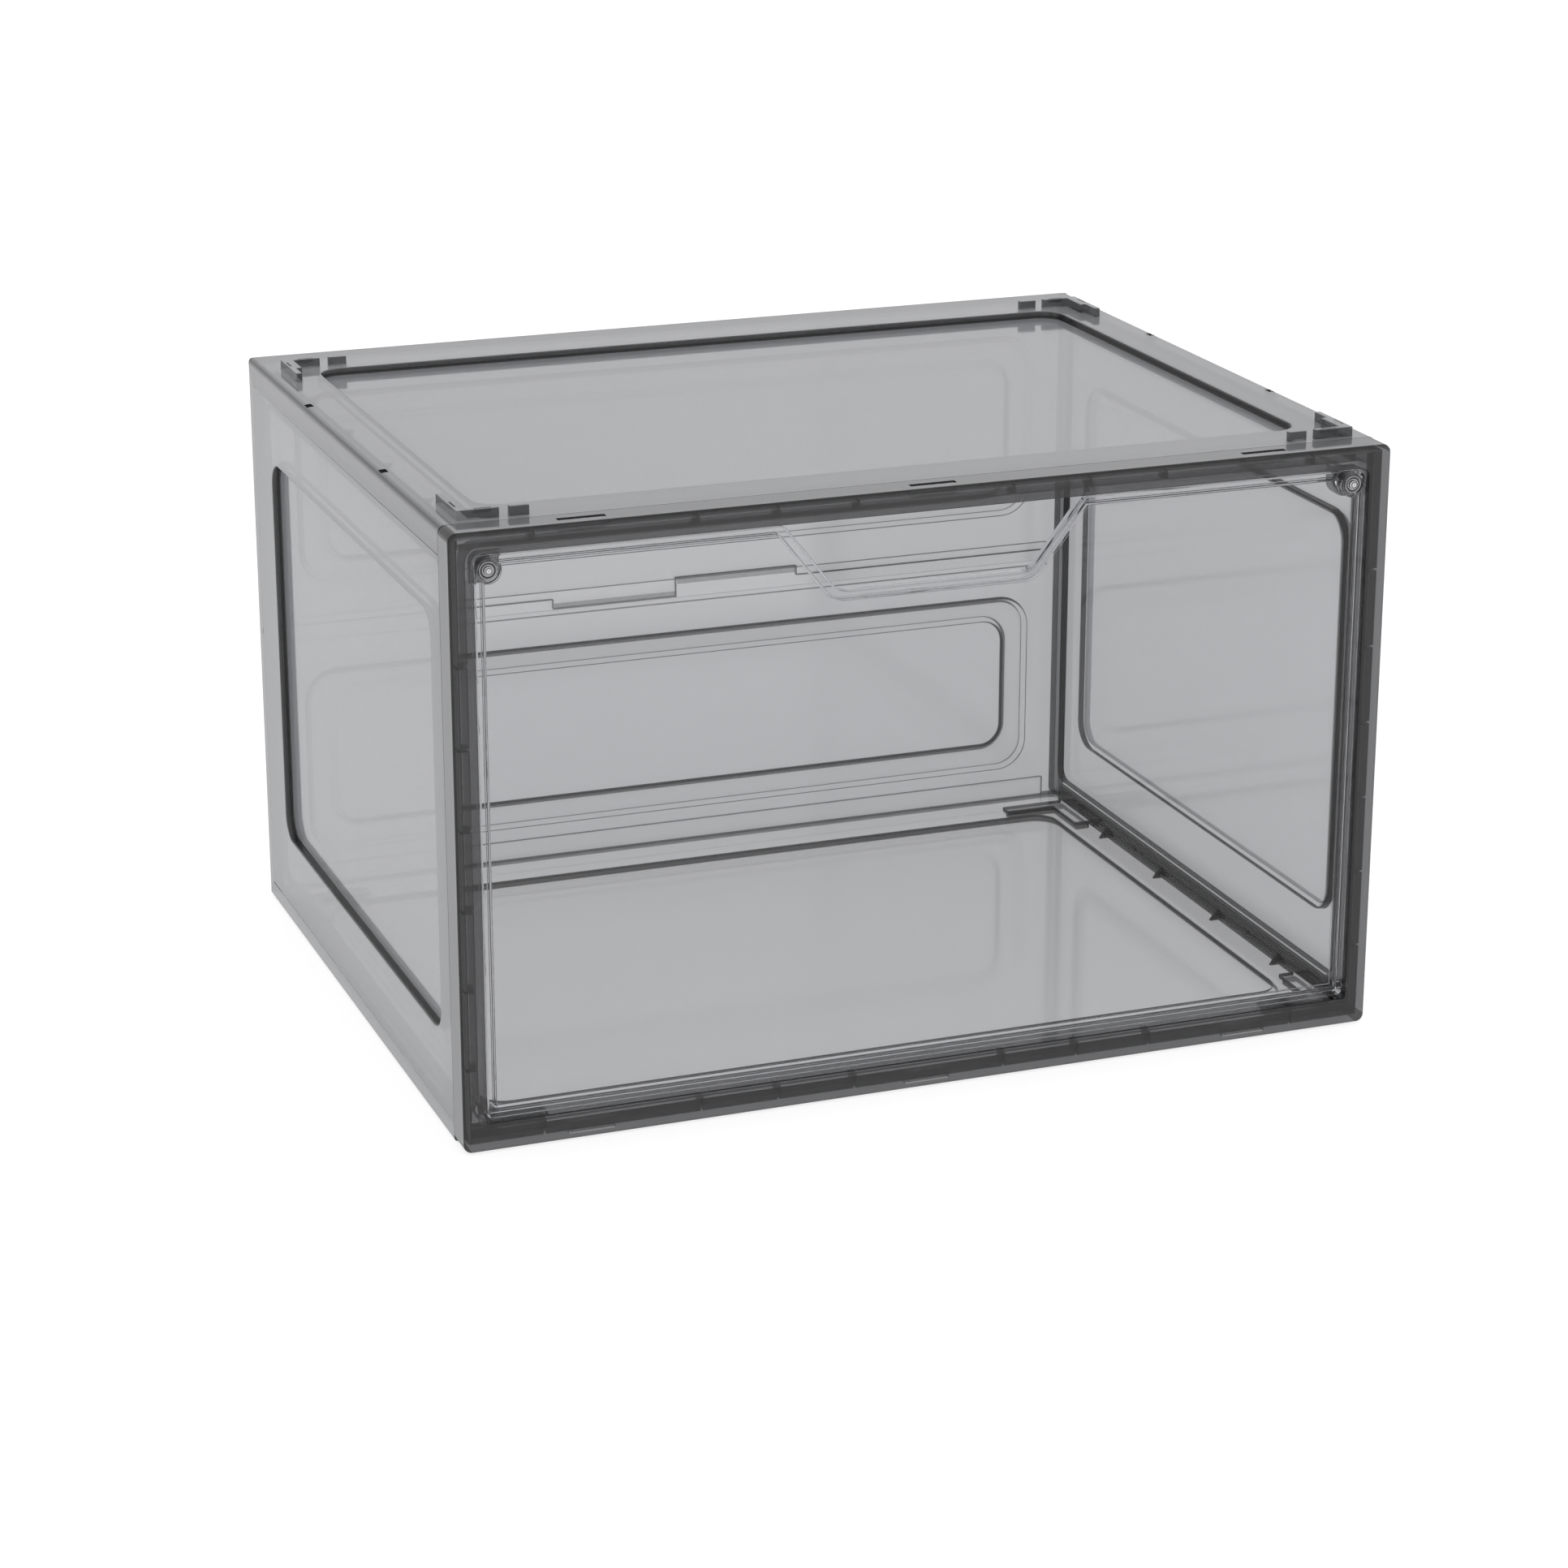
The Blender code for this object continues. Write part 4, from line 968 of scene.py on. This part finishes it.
def tint(thing, axis, out, zones):
    """Store how dark and how covering the smoke is at each corner of each face.

    A pressed sheet looks dark where its walls are seen along their depth, and its haze lies in
    its outer skin, towards out (1 or -1) along its axis. A zone (low, high, axis, strength,
    body) says which way the sheet faces inside a box (None on a flange, which gets painted
    shade, light on its sides and dark on its roundings), how dark its walls are, and how much
    its haze covers. The first zone that holds a face's centre counts.
    """
    mesh = thing.data
    shade = mesh.attributes.new("shade", "FLOAT", "CORNER")
    cover = mesh.attributes.new("cover", "FLOAT", "CORNER")
    for polygon in mesh.polygons:
        centre = polygon.center
        facing, strength, body = axis, 1.0, 1.0
        for low, high, *values in zones:
            if inside(centre, low, high):
                facing, strength, body = values
                break
        for index in polygon.loop_indices:
            normal = mesh.corner_normals[index].vector
            # On a flange, painted shade: a little on its flat sides, most on its roundings.
            if facing is None:
                lean = 1 - max(abs(value) for value in normal)
                amount = SIDE_PAINTED_SHADE + (strength - SIDE_PAINTED_SHADE) * smooth_step(0.01, 0.25, lean)
            else:
                amount = strength * (1 - smooth_step(0.7, 0.985, abs(normal[facing])))
            outward = normal[axis] * out
            if facing is None:
                outward = max(outward, normal.x * math.copysign(1, centre.x))
            shade.data[index].value = amount
            cover.data[index].value = body * smooth_step(0.1, 0.4, outward)


# ---------- materials

def new_material(name):
    """A material without nodes, its node tree, and the function that links its nodes."""
    material = bpy.data.materials.new(name)
    material.use_nodes = True
    material.node_tree.nodes.clear()
    return material, material.node_tree, material.node_tree.links.new


def show(tree, shader):
    """Make a shader the surface of its material."""
    out = add_node(tree, "ShaderNodeOutputMaterial")
    tree.links.new(shader.outputs[0], out.inputs["Surface"])


def add_node(tree, kind, **values):
    """Add a node and set its attributes, and the input sockets of the values named in_..."""
    node = tree.nodes.new(kind)
    for key, value in values.items():
        if key.startswith("in_"):
            node.inputs[key[3:].replace("_", " ")].default_value = value
        else:
            setattr(node, key, value)
    return node


def gloss_mix(tree, under, rough, gloss, normal):
    """Put a clear gloss over a shader, stronger at grazing angles, on a bumped normal."""
    link_up = tree.links.new
    shine = add_node(tree, "ShaderNodeBsdfGlossy", in_Roughness=rough)
    layer = add_node(tree, "ShaderNodeLayerWeight", in_Blend=0.5)
    power = add_node(tree, "ShaderNodeMath", operation="POWER")
    power.inputs[1].default_value = 5
    scale = add_node(tree, "ShaderNodeMath", operation="MULTIPLY_ADD")
    scale.inputs[1].default_value = 0.96 * gloss
    scale.inputs[2].default_value = 0.04 * gloss
    mix = add_node(tree, "ShaderNodeMixShader")
    link_up(layer.outputs["Facing"], power.inputs[0])
    link_up(power.outputs[0], scale.inputs[0])
    link_up(scale.outputs[0], mix.inputs["Fac"])
    link_up(under.outputs[0], mix.inputs[1])
    link_up(shine.outputs[0], mix.inputs[2])
    link_up(normal.outputs["Normal"], shine.inputs["Normal"])
    link_up(normal.outputs["Normal"], layer.inputs["Normal"])
    return mix


def grain_nodes(tree, scale, detail=4.0):
    place = add_node(tree, "ShaderNodeTexCoord")
    noise = add_node(tree, "ShaderNodeTexNoise", in_Scale=scale, in_Detail=detail,
                     in_Roughness=0.65)
    tree.links.new(place.outputs["Object"], noise.inputs["Vector"])
    return noise


def swell_bump(tree, strength):
    """Soft waves of moulded plastic."""
    swell = grain_nodes(tree, SWELL_SCALE, 1.0)
    bump = add_node(tree, "ShaderNodeBump", in_Strength=strength, in_Distance=SWELL_BUMP)
    tree.links.new(swell.outputs["Fac"], bump.inputs["Height"])
    return bump


def sheet_plastic(name, tones, deep, haze, edge_cover, tint_through=(1, 1, 1)):
    """Tinted sheet with a fine haze, dark where the shade attribute says it is seen edge on, and in
    the painted shade that the same attribute holds.

    tones are the darkest and lightest grain, and haze is how much a face covers where its
    cover attribute is 1.
    """
    material, tree, link_up = new_material(name)
    shade = add_node(tree, "ShaderNodeAttribute", attribute_name="shade")
    body = add_node(tree, "ShaderNodeAttribute", attribute_name="cover")
    grain = grain_nodes(tree, GRAIN_SCALE)
    light = add_node(tree, "ShaderNodeValToRGB")
    stops = light.color_ramp.elements
    for stop, place, color in zip(stops, (0.25, 0.75), tones):
        stop.position = place
        stop.color = (*color, 1)
    tone = add_node(tree, "ShaderNodeMix", data_type="RGBA")
    tone.inputs[7].default_value = (*deep, 1)
    link_up(grain.outputs["Fac"], light.inputs["Fac"])
    link_up(shade.outputs["Fac"], tone.inputs[0])
    link_up(light.outputs["Color"], tone.inputs[6])
    diffuse = add_node(tree, "ShaderNodeBsdfDiffuse")
    through = add_node(tree, "ShaderNodeBsdfTranslucent")
    halves = add_node(tree, "ShaderNodeMixShader", in_Fac=0.5)
    link_up(tone.outputs[2], diffuse.inputs["Color"])
    link_up(tone.outputs[2], through.inputs["Color"])
    link_up(diffuse.outputs[0], halves.inputs[1])
    link_up(through.outputs[0], halves.inputs[2])
    clear = add_node(tree, "ShaderNodeBsdfTransparent", in_Color=(*tint_through, 1))
    sheet = add_node(tree, "ShaderNodeMapRange", in_To_Max=haze)
    link_up(body.outputs["Fac"], sheet.inputs["Value"])
    cover = add_node(tree, "ShaderNodeMix", data_type="FLOAT")
    cover.inputs[3].default_value = edge_cover
    link_up(shade.outputs["Fac"], cover.inputs[0])
    link_up(sheet.outputs[0], cover.inputs[2])
    veil = add_node(tree, "ShaderNodeMixShader")
    link_up(cover.outputs[0], veil.inputs["Fac"])
    link_up(clear.outputs[0], veil.inputs[1])
    link_up(halves.outputs[0], veil.inputs[2])
    show(tree, gloss_mix(tree, veil, 0.08, 1.0, swell_bump(tree, 0.12)))
    return material


def clear_plate():
    """Flat of the door: nearly nothing but its gloss."""
    material, tree, _ = new_material("door_clear_flat")
    clear = add_node(tree, "ShaderNodeBsdfTransparent", in_Color=(0.985, 0.985, 0.987, 1))
    show(tree, gloss_mix(tree, clear, 0.03, 0.35, swell_bump(tree, 0.05)))
    return material


def door_plastic():
    """Clear plastic of the door's fillets, bosses and pins, which bends light."""
    material, tree, link_up = new_material("door_clear_gloss")
    glass = add_node(tree, "ShaderNodeBsdfGlass", in_Color=(0.88, 0.88, 0.89, 1), in_IOR=1.49,
                     in_Roughness=0.0)
    link_up(swell_bump(tree, 0.04).outputs["Normal"], glass.inputs["Normal"])
    show(tree, glass)
    return material


def turned_metal(name, color, rough, rings, depth, ring_reflection_dark):
    """Metal with fine turned rings about its own axis, grooved in the bump and darkened in the
    colour as a painted reflection.
    """
    material, tree, link_up = new_material(name)
    metal = add_node(tree, "ShaderNodeBsdfPrincipled", in_Metallic=1.0)
    # Painted reflection: darker rings in the colour give the contrast that reflections show on
    # turned metal.
    ring_reflection_tone = add_node(tree, "ShaderNodeValToRGB")
    stops = ring_reflection_tone.color_ramp.elements
    stops[0].color = (*[value * ring_reflection_dark for value in color], 1)
    stops[1].color = (*color, 1)
    place = add_node(tree, "ShaderNodeTexCoord")
    wave = add_node(tree, "ShaderNodeTexWave", wave_type="RINGS", rings_direction="Z",
                    in_Scale=rings, in_Distortion=0.6, in_Detail=3.0)
    grain = grain_nodes(tree, METAL_GRAIN)
    worn = add_node(tree, "ShaderNodeMapRange", in_To_Min=rough * 0.7, in_To_Max=rough * 1.5)
    bump = add_node(tree, "ShaderNodeBump", in_Strength=depth, in_Distance=FINE_BUMP)
    link_up(place.outputs["Object"], wave.inputs["Vector"])
    link_up(wave.outputs["Fac"], bump.inputs["Height"])
    link_up(wave.outputs["Fac"], ring_reflection_tone.inputs["Fac"])
    link_up(ring_reflection_tone.outputs["Color"], metal.inputs["Base Color"])
    link_up(grain.outputs["Fac"], worn.inputs["Value"])
    link_up(worn.outputs[0], metal.inputs["Roughness"])
    link_up(bump.outputs["Normal"], metal.inputs["Normal"])
    show(tree, metal)
    return material


def ground_material():
    """Pale matte ground that is lit a little from within, so that it stays white."""
    material, tree, _ = new_material("pale_ground")
    matte = add_node(tree, "ShaderNodeBsdfPrincipled", in_Roughness=1.0,
                     in_Base_Color=(0.35, 0.35, 0.35, 1), in_Emission_Color=(1, 1, 1, 1),
                     in_Emission_Strength=0.75)
    show(tree, matte)
    return material


# ---------- assembly

def wear(piece, material, body, slot, *nodes):
    piece.data.materials.clear()
    piece.data.materials.append(material)
    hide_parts(*nodes)
    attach(piece, body)


def smoke_piece(piece, axis, out, node, zones):
    """Finish a piece of the shell; the arguments in between are those of tint."""
    shade_smoothly(piece)
    tint(piece, axis, out, zones)
    wear(piece, smoke, "case", "panel_smoke", node)


def pale_walls_and_highlight(ring):
    """Give the frame's outer walls the paler smoke of the shell, and paint a highlight with it on
    the channel's fillet beside them.
    """
    for polygon in ring.data.polygons:
        centre = polygon.center
        near_side = min(HALF - abs(centre.x), centre.z, HEIGHT - centre.z)
        lean = 1 - max(abs(value) for value in polygon.normal)
        at_foot = 0 < centre.y - FRONT - FRAME_FACE < 1 * MM
        # Painted highlight: the fillet at the foot of the channel, next to an outer wall, takes the
        # pale smoke as a light line.
        painted_highlight = near_side < WALL + 1 * MM and lean > 0.03 and at_foot
        if near_side < TINY or painted_highlight:
            polygon.material_index = 1
            for index in polygon.loop_indices:
                ring.data.attributes["shade"].data[index].value = SIDE_PAINTED_SHADE
                ring.data.attributes["cover"].data[index].value = 1.0


smoke = sheet_plastic("smoke_sheet", SMOKE, SMOKE_DEEP, SMOKE_COVER, EDGE_COVER)
FAR = 1.0
# Flanges get painted shade on their sides and roundings.
FLANGES = [
    ((-FAR, -FAR, -FAR), (-INNER + GAP, FAR, FAR), None, ROUNDING_PAINTED_SHADE, 1.0),
    ((INNER - GAP, -FAR, -FAR), (FAR, FAR, FAR), None, ROUNDING_PAINTED_SHADE, 1.0),
]
TONGUES = ((-FAR, -FAR, -FAR), (FAR, SHELL_FRONT - TINY, FAR), 2, TONGUE_DARK, 0.0)
lip_span = (BACK - WALL - GAP - LIP - TINY, BACK - WALL - GAP + TINY)
rib_span = (BACK - WALL - SEAM_RIB - TINY, BACK - WALL - TINY)

smoke_piece(make_roof(), 2, 1, "top_panel", [
    ((-FAR, -FAR, HEIGHT + TINY), (FAR, FAR, FAR), 2, RIB_DARK, 1.0),
    TONGUES,
    ((-FAR, lip_span[0], -FAR), (FAR, lip_span[1], HEIGHT - WALL - TINY), 1, LIP_DARK, 0.0),
    *FLANGES,
])
smoke_piece(make_floor(), 2, -1, "bottom_panel", [
    TONGUES,
    ((-FAR, lip_span[0], BASE_SINK + WALL + TINY), (FAR, lip_span[1], FAR), 1, LIP_DARK, 0.0),
    *FLANGES,
    ((-FAR, -FAR, -FAR), (FAR, FAR, FAR), 2, 1.0, FLOOR_PAINTED_LIGHT_COVER),
])

field_low = (-FAR, SIDE_FIELD[0] - 2 * EMBOSS_WALL, SIDE_FIELD[1] - 2 * EMBOSS_WALL)
field_high = (FAR, SIDE_FIELD[2] + 2 * EMBOSS_WALL, SIDE_FIELD[3] + 2 * EMBOSS_WALL)
for side, label in ((-1, "left"), (1, "right")):
    behind = sorted((side * (INNER - GAP - TONGUE - TINY), side * (INNER - GAP - OVERLAP - TINY)))
    smoke_piece(make_side(side, label), 0, side, f"{label}_side_panel", [
        (field_low, field_high, 0, 1.0, 1.0),
        ((behind[0], -FAR, -FAR), (behind[1], FAR, FAR), 0, 1.0, 0.0),
    ])

for half, node in zip(make_back(), ("upper_back_panel", "lower_back_panel")):
    smoke_piece(half, 1, 1, node, [
        ((-FAR, lip_span[0], SEAM_LIP[0] - TINY), (FAR, lip_span[1], SEAM_LIP[1] + TINY),
         1, LIP_DARK, 0.0),
        ((-SEAM_TONGUE, rib_span[0], SEAM_Z - SEAM_STEP),
         (SEAM_TONGUE, rib_span[1], SEAM_Z + SEAM_STEP), 0, SEAM_DARK, 0.0),
        *FLANGES,
    ])

front = make_frame()
shade_smoothly(front)
mouth_side, mouth_top = HALF - SIDE_RAIL + WALL + TINY, HEIGHT - TOP_RAIL + WALL + TINY
tint(front, 1, -1, [
    ((-mouth_side, FRONT + FRAME_FACE, BOTTOM_RAIL - WALL - TINY), (mouth_side, FAR, mouth_top),
     1, MOUTH_DARK, 1.0),
])
wear(front, sheet_plastic("frame_smoke_deep", FRAME_SMOKE, FRAME_DEEP, FRAME_COVER,
                          FRAME_EDGE_COVER, FRAME_THROUGH), "case", "frame_smoke", "front_frame")
# Second slot: the shell's paler smoke, for the frame's outer walls and the painted highlight beside
# them.
front.data.materials.append(sheet_plastic("frame_smoke_wall_and_painted_highlight", SMOKE, SMOKE_DEEP, SMOKE_COVER,
                                          EDGE_COVER))
pale_walls_and_highlight(front)

door = make_door()
shade_smoothly(door)
wear(door, door_plastic(), "door", "door_clear", "door_panel")
door.data.materials.append(clear_plate())
for polygon in door.data.polygons:
    flat = max(abs(value) for value in polygon.normal) > 0.999
    if flat and polygon.area > 100 * MM * MM:
        polygon.material_index = 1

# Colour, roughness, rings to the metre, depth of the rings, and how dark the painted reflection
# makes the rings
disc_steel = turned_metal("striker_steel_turned", (0.36, 0.36, 0.37), 0.12, 260.0, 0.5, 0.12)
rivet_steel = turned_metal("rivet_steel_polished", (0.62, 0.62, 0.64), 0.07, 300.0, 0.1, 0.3)
nickel = turned_metal("magnet_nickel_satin", (0.3, 0.3, 0.31), 0.28, 500.0, 0.3, 0.6)
for side, label in ((-1, "left"), (1, "right")):
    disc, rivet, magnet = make_catch(side, label)
    for piece in (disc, rivet, magnet):
        shade_smoothly(piece)
    wear(disc, disc_steel, "door", "striker_steel", f"striker_disc_{label}")
    wear(rivet, rivet_steel, "door", "rivet_steel", f"striker_rivet_{label}")
    wear(magnet, nickel, "case", "magnet_nickel", f"frame_magnet_{label}")


# ---------- floor, light and camera

GROUND_CELLS = 81
GROUND_REACH = 8
GROUND_DROP = 0.5 * MM
CAMERA_PLACE = (-0.5251, -1.3844, 0.5735)
CAMERA_DOWN = math.radians(18.77)
CAMERA_TURN = math.radians(-20.61)
LENS_MM = 93.2
SENSOR_MM = 36

scene = bpy.context.scene
world = bpy.data.worlds.new("studio")
scene.world = world
world.use_nodes = True
world.node_tree.nodes["Background"].inputs["Color"].default_value = (1, 1, 1, 1)

ground_shape = bmesh.new()
bmesh.ops.create_grid(ground_shape, x_segments=GROUND_CELLS, y_segments=GROUND_CELLS,
                      size=GROUND_REACH)
ground = as_object("ground", ground_shape)
ground.location.z = -GROUND_DROP
ground.data.materials.append(ground_material())

lens = bpy.data.cameras.new("view")
lens.lens = LENS_MM
lens.sensor_width = SENSOR_MM
camera = link(bpy.data.objects.new("view", lens))
camera.location = CAMERA_PLACE
camera.rotation_euler = (math.pi / 2 - CAMERA_DOWN, 0, CAMERA_TURN)
scene.camera = camera
scene.view_settings.view_transform = "Standard"
scene.cycles.max_bounces = 24
scene.cycles.transmission_bounces = 24
scene.cycles.transparent_max_bounces = 48
scene.cycles.glossy_bounces = 8
